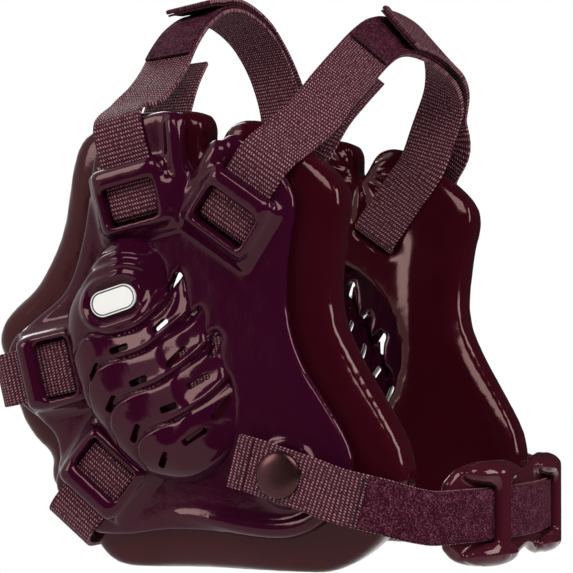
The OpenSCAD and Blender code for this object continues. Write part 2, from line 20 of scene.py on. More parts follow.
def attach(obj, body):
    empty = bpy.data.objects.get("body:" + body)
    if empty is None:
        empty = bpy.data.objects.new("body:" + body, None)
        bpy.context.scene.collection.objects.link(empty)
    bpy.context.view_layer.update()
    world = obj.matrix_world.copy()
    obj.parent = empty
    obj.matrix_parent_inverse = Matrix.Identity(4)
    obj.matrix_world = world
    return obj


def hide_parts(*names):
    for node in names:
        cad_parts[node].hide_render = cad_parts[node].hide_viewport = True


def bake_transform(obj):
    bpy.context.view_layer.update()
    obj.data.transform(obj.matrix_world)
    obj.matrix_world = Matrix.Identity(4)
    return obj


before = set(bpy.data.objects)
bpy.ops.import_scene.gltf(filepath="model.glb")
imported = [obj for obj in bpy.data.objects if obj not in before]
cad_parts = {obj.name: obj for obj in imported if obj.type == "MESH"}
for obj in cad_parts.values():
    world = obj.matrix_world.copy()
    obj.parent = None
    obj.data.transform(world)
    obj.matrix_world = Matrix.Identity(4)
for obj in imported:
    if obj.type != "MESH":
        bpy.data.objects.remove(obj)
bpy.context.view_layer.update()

MM = 0.001
log = logging.getLogger("headgear")

Point = tuple[float, float]
Triple = tuple[float, float, float]
Reach = tuple[float, float, float, float, float]
Rows = np.ndarray
Piece = bpy.types.Object
Socket = bpy.types.NodeSocket
Tree = bpy.types.NodeTree


class Side(Enum):
    """Which ear a cup covers; the value is the sign of its X."""

    RIGHT = -1
    LEFT = 1

    @property
    def word(self) -> str:
        """The side's name in lower case."""
        return self.name.lower()


# ---------------------------------------------------------------- operators


def deselect() -> None:
    """Leave nothing selected, in object mode."""
    if bpy.context.object and bpy.context.object.mode != "OBJECT":
        bpy.ops.object.mode_set(mode="OBJECT")
    bpy.ops.object.select_all(action="DESELECT")


def activate(piece: Piece) -> None:
    """Select one object alone and make it the active one.

    Args:
        piece: the mesh object.
    """
    deselect()
    piece.select_set(True)
    bpy.context.view_layer.objects.active = piece


def apply_modifiers(piece: Piece) -> None:
    """Apply every modifier of a piece in order."""
    activate(piece)
    for modifier in list(piece.modifiers):
        bpy.ops.object.modifier_apply(modifier=modifier.name)


def add_modifier(piece: Piece, kind: str, **values: object) -> None:
    """Add one modifier with its settings and apply it.

    Args:
        piece: the mesh object.
        kind: Blender's name of the modifier type.
        values: the modifier's settings.
    """
    modifier = piece.modifiers.new(kind.title(), kind)
    for name, value in values.items():
        setattr(modifier, name, value)
    apply_modifiers(piece)


def settle(piece: Piece) -> None:
    """Put a piece's place into its mesh."""
    activate(piece)
    bpy.ops.object.transform_apply(location=True, rotation=True, scale=True)


def coords(piece: Piece) -> np.ndarray:
    """A piece's vertices as an array of rows.

    Args:
        piece: the mesh object.

    Returns:
        One row for each vertex, in metres.
    """
    flat = np.zeros(len(piece.data.vertices) * 3, np.float32)
    piece.data.vertices.foreach_get("co", flat)
    return flat.reshape(-1, 3).astype(float)


def set_coords(piece: Piece, points: np.ndarray) -> None:
    """Write a piece's vertices back from an array of rows."""
    piece.data.vertices.foreach_set("co", points.astype(np.float32).ravel())
    piece.data.update()


def smooth(piece: Piece, angle: float = 40) -> None:
    """Shade a piece smooth, with edges sharper than the angle kept."""
    activate(piece)
    bpy.ops.object.shade_smooth_by_angle(angle=math.radians(angle))


def edit_all(piece: Piece) -> None:
    """Open a piece in edit mode with everything selected.

    Args:
        piece: the mesh object.
    """
    activate(piece)
    bpy.ops.object.mode_set(mode="EDIT")
    bpy.ops.mesh.select_all(action="SELECT")


def leave_edit() -> None:
    """Go back to object mode."""
    bpy.ops.object.mode_set(mode="OBJECT")


def outwards(piece: Piece, merge: float = 1e-6) -> None:
    """Merge a piece's doubles and point its faces outwards.

    Args:
        piece: the mesh object.
        merge: the distance within which points are merged, in metres.
    """
    edit_all(piece)
    bpy.ops.mesh.remove_doubles(threshold=merge)
    bpy.ops.mesh.normals_make_consistent(inside=False)
    leave_edit()


def select_faces(piece: Piece, test: Callable[[Vector, Vector], bool]) -> None:
    """Open a piece in edit mode with the faces that pass a test selected.

    Args:
        piece: the mesh object.
        test: a function of a face's centre and normal.
    """
    activate(piece)
    bpy.ops.object.mode_set(mode="EDIT")
    bpy.ops.mesh.select_mode(type="FACE")
    bpy.ops.mesh.select_all(action="DESELECT")
    shape = bmesh.from_edit_mesh(piece.data)
    for face in shape.faces:
        face.select = test(face.calc_center_median(), face.normal)
    bmesh.update_edit_mesh(piece.data)


def round_plate(piece: Piece, radius: float, segments: int, both: bool = True) -> None:
    """Round a plate's edges.

    Args:
        piece: the plate, square to the third axis.
        radius: the radius of its edges, in millimetres.
        segments: the steps of each rounded edge.
        both: whether the underside's edges are rounded too, and not only the top's.
    """
    select_faces(piece, lambda centre, normal: (abs(normal.z) if both else normal.z) > 0.9)
    bpy.ops.mesh.bevel(offset=radius * MM, segments=segments, affect="EDGES", clamp_overlap=False)
    leave_edit()


def prism(name: str, outline: list[Point], low: float, high: float) -> Piece:
    """A solid with a flat outline, between two heights.

    Args:
        name: the object's name.
        outline: the outline's points, anticlockwise, in millimetres.
        low: height of its underside.
        high: height of its top.

    Returns:
        The mesh object, with its faces outwards.
    """
    deselect()
    bpy.ops.mesh.primitive_circle_add(vertices=len(outline), radius=1, fill_type="NGON")
    piece = bpy.context.object
    piece.name = name
    for vertex, point in zip(piece.data.vertices, outline):
        vertex.co = (point[0] * MM, point[1] * MM, low * MM)
    edit_all(piece)
    bpy.ops.mesh.extrude_region_move(TRANSFORM_OT_translate={"value": (0, 0, (high - low) * MM)})
    leave_edit()
    outwards(piece)
    return piece


def block(
    name: str, size: Triple, at: Triple,
    turn: float = 0, rounding: float = 0, segments: int = 4, upright_only: bool = False,
) -> Piece:
    """A box with rounded edges.

    Args:
        name: the object's name.
        size: its three lengths in millimetres.
        at: its centre in millimetres.
        turn: its turn about the third axis, in degrees.
        rounding: the radius of its edges.
        segments: the steps of each rounded edge.
        upright_only: whether only the edges along the third axis are rounded.

    Returns:
        The mesh object.
    """
    deselect()
    bpy.ops.mesh.primitive_cube_add(size=1, location=(0, 0, 0))
    piece = bpy.context.object
    piece.name = name
    piece.scale = [length * MM for length in size]
    settle(piece)
    if rounding:
        edit_all(piece)
        if upright_only:
            bpy.ops.mesh.select_mode(type="EDGE")
            bpy.ops.mesh.select_all(action="DESELECT")
            shape = bmesh.from_edit_mesh(piece.data)
            for edge in shape.edges:
                run = edge.verts[0].co - edge.verts[1].co
                edge.select = abs(run.z) > 0.9 * run.length
            bmesh.update_edit_mesh(piece.data)
        bpy.ops.mesh.bevel(offset=rounding * MM, segments=segments, affect="EDGES")
        leave_edit()
    piece.rotation_euler = (0, 0, math.radians(turn))
    piece.location = [value * MM for value in at]
    settle(piece)
    return piece


def lathe(name: str, profile: list[Point], steps: int = 48) -> Piece:
    """A round solid about the third axis, spun from a profile.

    Args:
        name: the object's name.
        profile: radius and height pairs from the axis at the bottom to the axis at the top.
        steps: the steps round the axis.

    Returns:
        The closed mesh object.
    """
    deselect()
    bpy.ops.mesh.primitive_circle_add(vertices=3, radius=1, fill_type="NOTHING")
    piece = bpy.context.object
    piece.name = name
    shape = bmesh.new()
    made = [shape.verts.new((r * MM, 0, h * MM)) for r, h in profile]
    for first, second in zip(made, made[1:]):
        shape.edges.new((first, second))
    shape.to_mesh(piece.data)
    shape.free()
    edit_all(piece)
    bpy.ops.mesh.spin(steps=steps, angle=math.tau, center=(0, 0, 0), axis=(0, 0, 1))
    leave_edit()
    outwards(piece, 1e-5)
    return piece


def ellipsoid(at: Triple, half: Triple) -> Piece:
    """A sphere stretched to three half lengths, in millimetres.

    Args:
        at: its centre, in millimetres.
        half: its three half lengths, in millimetres.

    Returns:
        The mesh object.
    """
    deselect()
    bpy.ops.mesh.primitive_uv_sphere_add(
        segments=32, ring_count=16, radius=MM, location=[value * MM for value in at]
    )
    bpy.context.object.scale = half
    settle(bpy.context.object)
    return bpy.context.object


def bead_row(name: str, line: Rows, level: float, rise: float, pitch: float = 0.6) -> Piece:
    """A rounded ridge of overlapping beads, to be melted into a moulding.

    Args:
        name: the object's name.
        line: rows of u, v and the ridge's half width.
        level: the height of its middle.
        rise: its height as a share of its half width.
        pitch: the least distance between beads.

    Returns:
        The mesh object.
    """
    run = open_curve(line, 14)
    beads, last = [], None
    for u, v, wide in run:
        if last is not None and math.hypot(u - last[0], v - last[1]) < pitch:
            continue
        last = (u, v)
        deselect()
        bpy.ops.mesh.primitive_ico_sphere_add(
            subdivisions=3, radius=wide * MM, location=(u * MM, v * MM, level * MM)
        )
        bead = bpy.context.object
        bead.scale = (1, 1, rise)
        settle(bead)
        beads.append(bead)
    return joined(name, beads)


def cut(piece: Piece, cutters: list[Piece]) -> None:
    """Take the cutters away from a piece and delete them.

    Args:
        piece: the mesh object.
        cutters: the solids to take away.
    """
    tool = joined("cutter", cutters)
    add_modifier(
        piece, "BOOLEAN", operation="DIFFERENCE", solver="EXACT", object=tool, use_self=True
    )
    bpy.data.objects.remove(tool)


def joined(name: str, parts: list[Piece]) -> Piece:
    """Join objects into one, without merging their surfaces.

    Args:
        name: the new object's name.
        parts: the objects.

    Returns:
        The object that holds them all.
    """
    deselect()
    for part in parts:
        part.select_set(True)
    bpy.context.view_layer.objects.active = parts[0]
    if len(parts) > 1:
        bpy.ops.object.join()
    parts[0].name = name
    return parts[0]


def remesh(piece: Piece, voxel: float, rounds: int = 0) -> None:
    """Melt a piece's surface together on a grid of voxels.

    Args:
        piece: the mesh object.
        voxel: the size of the grid's cells, in millimetres.
        rounds: how many times the surface is smoothed.
    """
    add_modifier(piece, "REMESH", mode="VOXEL", voxel_size=voxel * MM, adaptivity=0)
    if rounds:
        add_modifier(piece, "SMOOTH", factor=0.5, iterations=rounds)


# ------------------------------------------------------------------- curves


def closed_curve(points: list[Point], steps: int) -> list[Point]:
    """A smooth closed outline through points.

    Args:
        points: the points to run through.
        steps: the steps from one point to the next.

    Returns:
        The outline's points.
    """
    grid = np.array(points, float)
    made = []
    for i in range(len(grid)):
        a, b, c, d = (grid[(i + k) % len(grid)] for k in (-1, 0, 1, 2))
        made += [tuple(spline(a, b, c, d, j / steps)) for j in range(steps)]
    return made


def open_curve(points: Rows, steps: int) -> Rows:
    """A smooth open run of rows through rows.

    Args:
        points: the rows to run through.
        steps: the steps from one row to the next.

    Returns:
        The rows of the run.
    """
    made = []
    for i in range(len(points) - 1):
        a, d = points[max(i - 1, 0)], points[min(i + 2, len(points) - 1)]
        for j in range(steps + (i == len(points) - 2)):
            made.append(spline(a, points[i], points[i + 1], d, j / steps))
    return np.array(made)


def spline(a: np.ndarray, b: np.ndarray, c: np.ndarray, d: np.ndarray, t: float) -> np.ndarray:
    """The point at t on the smooth curve from b to c."""
    return 0.5 * (
        2 * b + (c - a) * t + (2 * a - 5 * b + 4 * c - d) * t * t
        + (3 * b - a - 3 * c + d) * t ** 3
    )


def oval(middle: Point, half_u: float, half_v: float, steps: int = 64) -> list[Point]:
    """An ellipse's points, anticlockwise."""
    turns = [math.tau * i / steps for i in range(steps)]
    return [(middle[0] + half_u * math.cos(t), middle[1] + half_v * math.sin(t)) for t in turns]


def distance_to(points: Rows, line: Rows) -> tuple[np.ndarray, np.ndarray, np.ndarray]:
    """Distance of points to a line of straight stretches.

    Args:
        points: the points, one row each.
        line: the line's corners in order.

    Returns:
        The distances, the side each point is on (positive on the right of the run) and the share
        of the line's length at its nearest place.
    """
    lengths = np.linalg.norm(np.diff(line, axis=0), axis=1)
    before = np.concatenate([[0], np.cumsum(lengths)])
    best = np.full(len(points), 1e9)
    side = np.zeros(len(points))
    share = np.zeros(len(points))
    for i, length in enumerate(lengths):
        run = (line[i + 1] - line[i]) / length
        off = points - line[i]
        along = np.clip(off @ run, 0, length)
        gap = np.linalg.norm(off - along[:, None] * run, axis=1)
        near = gap < best - 1e-9
        best = np.where(near, gap, best)
        side = np.where(near, np.sign(off[:, 1] * run[0] - off[:, 0] * run[1]) * -1, side)
        share = np.where(near, (before[i] + along) / before[-1], share)
    return best, side, share


def inside(points: np.ndarray, outline: np.ndarray) -> np.ndarray:
    """Whether each point lies inside a closed outline.

    Args:
        points: the points, one row each.
        outline: the outline's corners, one row each.

    Returns:
        A bool for each point.
    """
    found = np.zeros(len(points), bool)
    for a, b in zip(outline, np.roll(outline, -1, axis=0)):
        crosses = (a[1] > points[:, 1]) != (b[1] > points[:, 1])
        rise = b[1] - a[1] if abs(b[1] - a[1]) > 1e-12 else 1e-12
        found ^= crosses & (points[:, 0] < (b[0] - a[0]) * (points[:, 1] - a[1]) / rise + a[0])
    return found


def step_up(x: np.ndarray) -> np.ndarray:
    """A smooth step from 0 to 1 as x goes from 0 to 1."""
    t = np.clip(x, 0, 1)
    return t * t * (3 - 2 * t)


# ------------------------------------------------------------------ finishes


def node(
    tree: Tree, kind: str, inputs: dict | None = None, **values: object
) -> bpy.types.Node:
    """Add a shader node.

    Args:
        tree: the material's or group's tree.
        kind: the node's type without its ShaderNode prefix.
        inputs: values or output sockets for its inputs, by name or number.
        values: settings of the node itself.

    Returns:
        The node.
    """
    made = tree.nodes.new("ShaderNode" + kind)
    for name, value in values.items():
        setattr(made, name, value)
    for key, value in (inputs or {}).items():
        if isinstance(value, Socket):
            tree.links.new(value, made.inputs[key])
        else:
            made.inputs[key].default_value = value
    return made


def maths(tree: Tree, operation: str, *values: object) -> Socket:
    """One Math node's result."""
    return node(tree, "Math", dict(enumerate(values)), operation=operation).outputs[0]


def new_group(
    name: str, takes: dict[str, float | None], gives: tuple[str, ...]
) -> tuple[Tree, bpy.types.Node, bpy.types.Node]:
    """An empty shader node group with named sockets.

    Args:
        name: the group's name.
        takes: the inputs' names with their defaults, or None for a vector.
        gives: the names of the outputs, which are all numbers.

    Returns:
        The group's tree, its input node and its output node.
    """
    tree = bpy.data.node_groups.new(name, "ShaderNodeTree")
    for label, value in takes.items():
        kind = "NodeSocketVector" if value is None else "NodeSocketFloat"
        socket = tree.interface.new_socket(label, in_out="INPUT", socket_type=kind)
        if value is not None:
            socket.default_value = value
    for label in gives:
        tree.interface.new_socket(label, in_out="OUTPUT", socket_type="NodeSocketFloat")
    return tree, tree.nodes.new("NodeGroupInput"), tree.nodes.new("NodeGroupOutput")


def webbing_group() -> Tree:
    """The weave of the webbing, from a place along and across the strap in millimetres: its height,
    and a painted highlight on the raised crowns of its threads.

    Returns:
        The group's tree.
    """
    tree, given, out = new_group(
        "Webbing weave", {"Place": None, "Rib": 1.3, "Pick": 1.2}, ("Height", "Crown highlight")
    )
    split = node(tree, "SeparateXYZ", {0: given.outputs["Place"]})
    across = maths(tree, "DIVIDE", split.outputs[1], given.outputs["Rib"])
    along = maths(tree, "DIVIDE", split.outputs[0], given.outputs["Pick"])
    rib = maths(tree, "FLOOR", across)
    slant = maths(tree, "MULTIPLY", maths(tree, "SUBTRACT", across, rib), 0.36)
    shifted = maths(tree, "ADD", along, slant)
    across_wave, along_wave = (
        maths(tree, "ABSOLUTE", maths(tree, "SINE", maths(tree, "MULTIPLY", place, math.pi)))
        for place in (across, shifted)
    )
    rows = maths(tree, "MULTIPLY", along_wave, along_wave)
    bump = maths(tree, "POWER", maths(tree, "MULTIPLY", across_wave, rows), 0.6)
    noise = node(tree, "TexNoise", {"Vector": given.outputs["Place"], "Scale": 1.1, "Detail": 3.0})
    uneven = maths(tree, "MULTIPLY_ADD", noise.outputs[0], 2.2, -0.25)
    lift = maths(tree, "MULTIPLY", bump, uneven)
    # Painted highlight: the weave's raised crowns, where the bump is highest and spotted at random
    # by noise, take the light colour.
    crown_highlight = node(
        tree, "MapRange", {0: lift, 1: 0.35, 2: 1.0, 3: 0.0, 4: 1.0},
        interpolation_type="SMOOTHSTEP",
    )
    tree.links.new(bump, out.inputs["Height"])
    tree.links.new(crown_highlight.outputs[0], out.inputs["Crown highlight"])
    return tree


def mottle_group() -> Tree:
    """Soft unevenness of a moulded or dipped skin: tone, roughness and a shallow relief.

    Returns:
        The group's tree.
    """
    tree, given, out = new_group(
        "Skin mottle", {"Vector": None, "Size": 60.0, "Fine": 900.0}, ("Tone", "Relief")
    )
    broad, fine = (
        node(tree, "TexNoise", {
            "Vector": given.outputs["Vector"], "Scale": given.outputs[size], "Detail": detail
        })
        for size, detail in (("Size", 3.0), ("Fine", 2.0))
    )
    relief = maths(tree, "ADD", broad.outputs[0], maths(tree, "MULTIPLY", fine.outputs[0], 0.04))
    tree.links.new(broad.outputs[0], out.inputs["Tone"])
    tree.links.new(relief, out.inputs["Relief"])
    return tree


GROUPS: dict[str, Tree] = {}


def shared(name: str) -> Tree:
    """A shared effect's group, built the first time it is asked for.

    Args:
        name: the effect's name.

    Returns:
        The group's tree.
    """
    makers = {"weave": webbing_group, "mottle": mottle_group}
    if name not in GROUPS:
        GROUPS[name] = makers[name]()
    return GROUPS[name]


def new_material(name: str) -> tuple[bpy.types.Material, Tree, bpy.types.Node]:
    """A material with its tree and its Principled BSDF.

    Args:
        name: the material's name.

    Returns:
        The material, its tree and its shader.
    """
    material = bpy.data.materials.new(name)
    material.use_nodes = True
    tree = material.node_tree
    return material, tree, tree.nodes["Principled BSDF"]


def two_tone(
    tree: Tree, share: Socket, dark: Triple,
    light: Triple,
) -> Socket:
    """A colour between two colours by a share."""
    return node(
        tree, "Mix", {0: share, 6: (*dark, 1), 7: (*light, 1)}, data_type="RGBA"
    ).outputs[2]


def preset(made: bpy.types.Node, values: dict[str, object]) -> None:
    """Set a node's inputs by their names."""
    for name, value in values.items():
        made.inputs[name].default_value = value


def bumped(
    tree: Tree, shader: bpy.types.Node, height: Socket, distance: float
) -> None:
    """Lead a height through a bump of some depth, in metres, to a shader."""
    bump = node(tree, "Bump", {"Height": height, "Distance": distance, "Strength": 1.0})
    tree.links.new(bump.outputs[0], shader.inputs["Normal"])


def mottled(
    tree: Tree, shader: bpy.types.Node, patch: float, dark: Triple,
    light: Triple, rough: Point,
) -> Socket:
    """Give a shader the mottle's uneven colour and roughness.

    Args:
        tree: the material's tree.
        shader: its Principled BSDF.
        patch: how fine the mottle is.
        dark: its one colour.
        light: its other colour.
        rough: the least and the most roughness.

    Returns:
        The mottle's relief.
    """
    skin = node(tree, "Group", node_tree=shared("mottle"))
    tree.links.new(node(tree, "TexCoord").outputs["Object"], skin.inputs["Vector"])
    skin.inputs["Size"].default_value = patch
    tone = skin.outputs["Tone"]
    tree.links.new(two_tone(tree, tone, dark, light), shader.inputs["Base Color"])
    uneven = node(tree, "MapRange", {0: tone, 3: rough[0], 4: rough[1]})
    tree.links.new(uneven.outputs[0], shader.inputs["Roughness"])
    return skin.outputs["Relief"]


@dataclass(frozen=True)
class Vinyl:
    """A glossy dipped or moulded vinyl skin."""

    name: str
    dark: Triple
    light: Triple
    roughness: float = 0.07
    specular: float = 0.32
    tint: Triple = (1.0, 0.62, 0.58)
    relief: float = 0.0004
    patch: float = 38.0

    def build(self) -> bpy.types.Material:
        """Make the material.

        Returns:
            The material.
        """
        material, tree, shader = new_material(self.name)
        rough = (self.roughness, self.roughness * 1.8)
        relief = mottled(tree, shader, self.patch, self.dark, self.light, rough)
        bumped(tree, shader, relief, self.relief)
        preset(shader, {"Specular IOR Level": self.specular, "Specular Tint": (*self.tint, 1)})
        return material


@dataclass(frozen=True)
class Webbing:
    """Woven nylon webbing, read from a UV map in millimetres."""

    name: str
    dark: Triple
    light: Triple
    rib: float = 1.0
    pick: float = 1.45
    relief: float = 0.0006

    def build(self) -> bpy.types.Material:
        """Make the material.

        Returns:
            The material.
        """
        material, tree, shader = new_material(self.name)
        weave = node(tree, "Group", node_tree=shared("weave"))
        tree.links.new(node(tree, "UVMap", uv_map="Strap").outputs[0], weave.inputs["Place"])
        preset(weave, {"Rib": self.rib, "Pick": self.pick})
        # The light colour is a painted highlight on the weave's raised crowns.
        tone = two_tone(tree, weave.outputs["Crown highlight"], self.dark, self.light)
        tree.links.new(tone, shader.inputs["Base Color"])
        bumped(tree, shader, weave.outputs["Height"], self.relief)
        preset(shader, {"Roughness": 0.6, "Specular IOR Level": 0.08})
        return material


@dataclass(frozen=True)
class Pile:
    """The brushed loops or the hooks of a fastening tape, with painted glints on the raised fluff.
    """

    name: str
    dark: Triple
    light: Triple
    grain: float = 1500.0
    relief: float = 0.0007

    def build(self) -> bpy.types.Material:
        """Make the material.

        Returns:
            The material.
        """
        material, tree, shader = new_material(self.name)
        place = node(tree, "TexCoord").outputs["Object"]
        fluff = node(tree, "TexNoise", {
            "Vector": place, "Scale": self.grain, "Detail": 4.0, "Roughness": 0.7
        })
        broad = node(tree, "TexNoise", {"Vector": place, "Scale": 240.0, "Detail": 2.0})
        # Painted glints: the raised fluff, the same noise as the bump, takes the light colour,
        # shifted by a broad random tone.
        tone_and_glints = maths(tree, "MULTIPLY_ADD", broad.outputs[0], 0.22, fluff.outputs[0])
        share = node(tree, "MapRange", {0: tone_and_glints, 1: 0.6, 2: 0.84, 3: 0.0, 4: 1.0})
        tone = two_tone(tree, share.outputs[0], self.dark, self.light)
        tree.links.new(tone, shader.inputs["Base Color"])
        bumped(tree, shader, fluff.outputs[0], self.relief)
        preset(shader, {"Roughness": 0.95, "Specular IOR Level": 0.05})
        return material


@dataclass(frozen=True)
class Plain:
    """A smooth plastic or metal."""

    name: str
    colour: Triple
    metallic: float = 0.0
    roughness: float = 0.3
    specular: float = 0.5
    wear: float = 0.12
    patch: float = 220.0

    def build(self) -> bpy.types.Material:
        """Make the material.

        Returns:
            The material.
        """
        material, tree, shader = new_material(self.name)
        darker = tuple(value * (1 - 2 * self.wear) for value in self.colour)
        rough = (self.roughness, self.roughness * 1.5)
        mottled(tree, shader, self.patch, darker, self.colour, rough)
        preset(shader, {"Metallic": self.metallic, "Specular IOR Level": self.specular})
        return material


class Palette:
    """The headgear's finishes, built once."""

    def __init__(self) -> None:
        """Build every material."""
        self.cover = Vinyl("Cover vinyl", (0.0205, 0.001, 0.0078), (0.0285, 0.002, 0.0122)).build()
        self.pad = Vinyl("Pad vinyl", (0.02, 0.0008, 0.003), (0.031, 0.0018, 0.0058), 0.08).build()
        self.chin = Vinyl("Chin cup vinyl", (0.034, 0.004, 0.009), (0.047, 0.0065, 0.0135)).build()
        # The webbing's light colour is a painted highlight on the weave's crowns.
        self.webbing = Webbing("Maroon webbing", (0.05, 0.01, 0.018), (0.36, 0.17, 0.2)).build()
        # The pile's and the hook tape's light colours are painted glints on the raised fluff,
        # partly random tone.
        self.loops = Pile("Loop pile", (0.028, 0.0025, 0.009), (0.2, 0.06, 0.1)).build()
        self.hooks = Pile("Hook tape", (0.03, 0.008, 0.012), (0.08, 0.03, 0.035), 900.0).build()
        self.thread = Plain("Maroon thread", (0.014, 0.003, 0.006), 0, 0.6, 0.3).build()
        self.cap = Plain("Brown lacquered metal", (0.062, 0.021, 0.023), 0.8, 0.2).build()
        self.steel = Plain("Plated steel", (0.6, 0.58, 0.56), 1.0, 0.28).build()
        # The guard's black plastic; the dome's under-sheet wears it too, as painted shade in the
        # vents.
        self.insert = Plain("Black insert plastic", (0.006, 0.002, 0.002), 0, 0.7, 0.02).build()
        self.white = Plain("White badge plastic", (0.74, 0.74, 0.71), 0, 0.25, 0.5, 0.03).build()
        self.line = Plain("Dark badge line", (0.03, 0.02, 0.025), 0, 0.4).build()


def dress(piece: Piece, *materials: bpy.types.Material) -> None:
    """Give a piece its materials in place of any it has."""
    if piece.data.materials:
        piece.data.materials.clear()
    for material in materials:
        piece.data.materials.append(material)


def assign(piece: Piece, slot: str, body: str, *nodes: str) -> None:
    """Hide the nodes that a piece stands for and hang it on the body it rides on.

    Args:
        piece: the mesh object.
        slot: not used.
        body: the body's name.
        nodes: the names of the nodes that it stands for.
    """
    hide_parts(*nodes)
    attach(piece, body)


# ------------------------------------------------------------------- ear cup


@dataclass
class CupPlace:
    """Where a cup stands, and the way from its own plane to the frame."""

    half: float = 75.0
    cant: float = 4.0
    back: float = 22.4
    drop: float = 90.0
    foot_cut: float = 0.5
    foot_spare: float = 0.2

    @property
    def height(self) -> float:
        """Height of the cup's origin."""
        return self.drop * math.cos(math.radians(self.cant)) - self.foot_cut - self.foot_spare

    def matrix(self, side: Side) -> Matrix:
        """The move from the cup's plane, in metres, to the frame.

        Args:
            side: the side of the cup.

        Returns:
            The move, as a matrix.
        """
        s, c = math.sin(math.radians(self.cant)), math.cos(math.radians(self.cant))
        x = side.value
        return Matrix((
            (0, x * s, x * c, x * self.half * MM),
            (-1, 0, 0, self.back * MM),
            (0, c, -s, self.height * MM),
            (0, 0, 0, 1),
        ))

    def point(self, side: Side, u: float, v: float, w: float) -> list[float]:
        """A place on a cup in the frame, in millimetres."""
        place = self.matrix(side) @ Vector((u * MM, v * MM, w * MM))
        return [value / MM for value in place]


@dataclass(frozen=True)
class Loop:
    """A strap loop: the middle of its window and the way its strap leaves."""

    u: float
    v: float
    turn: float


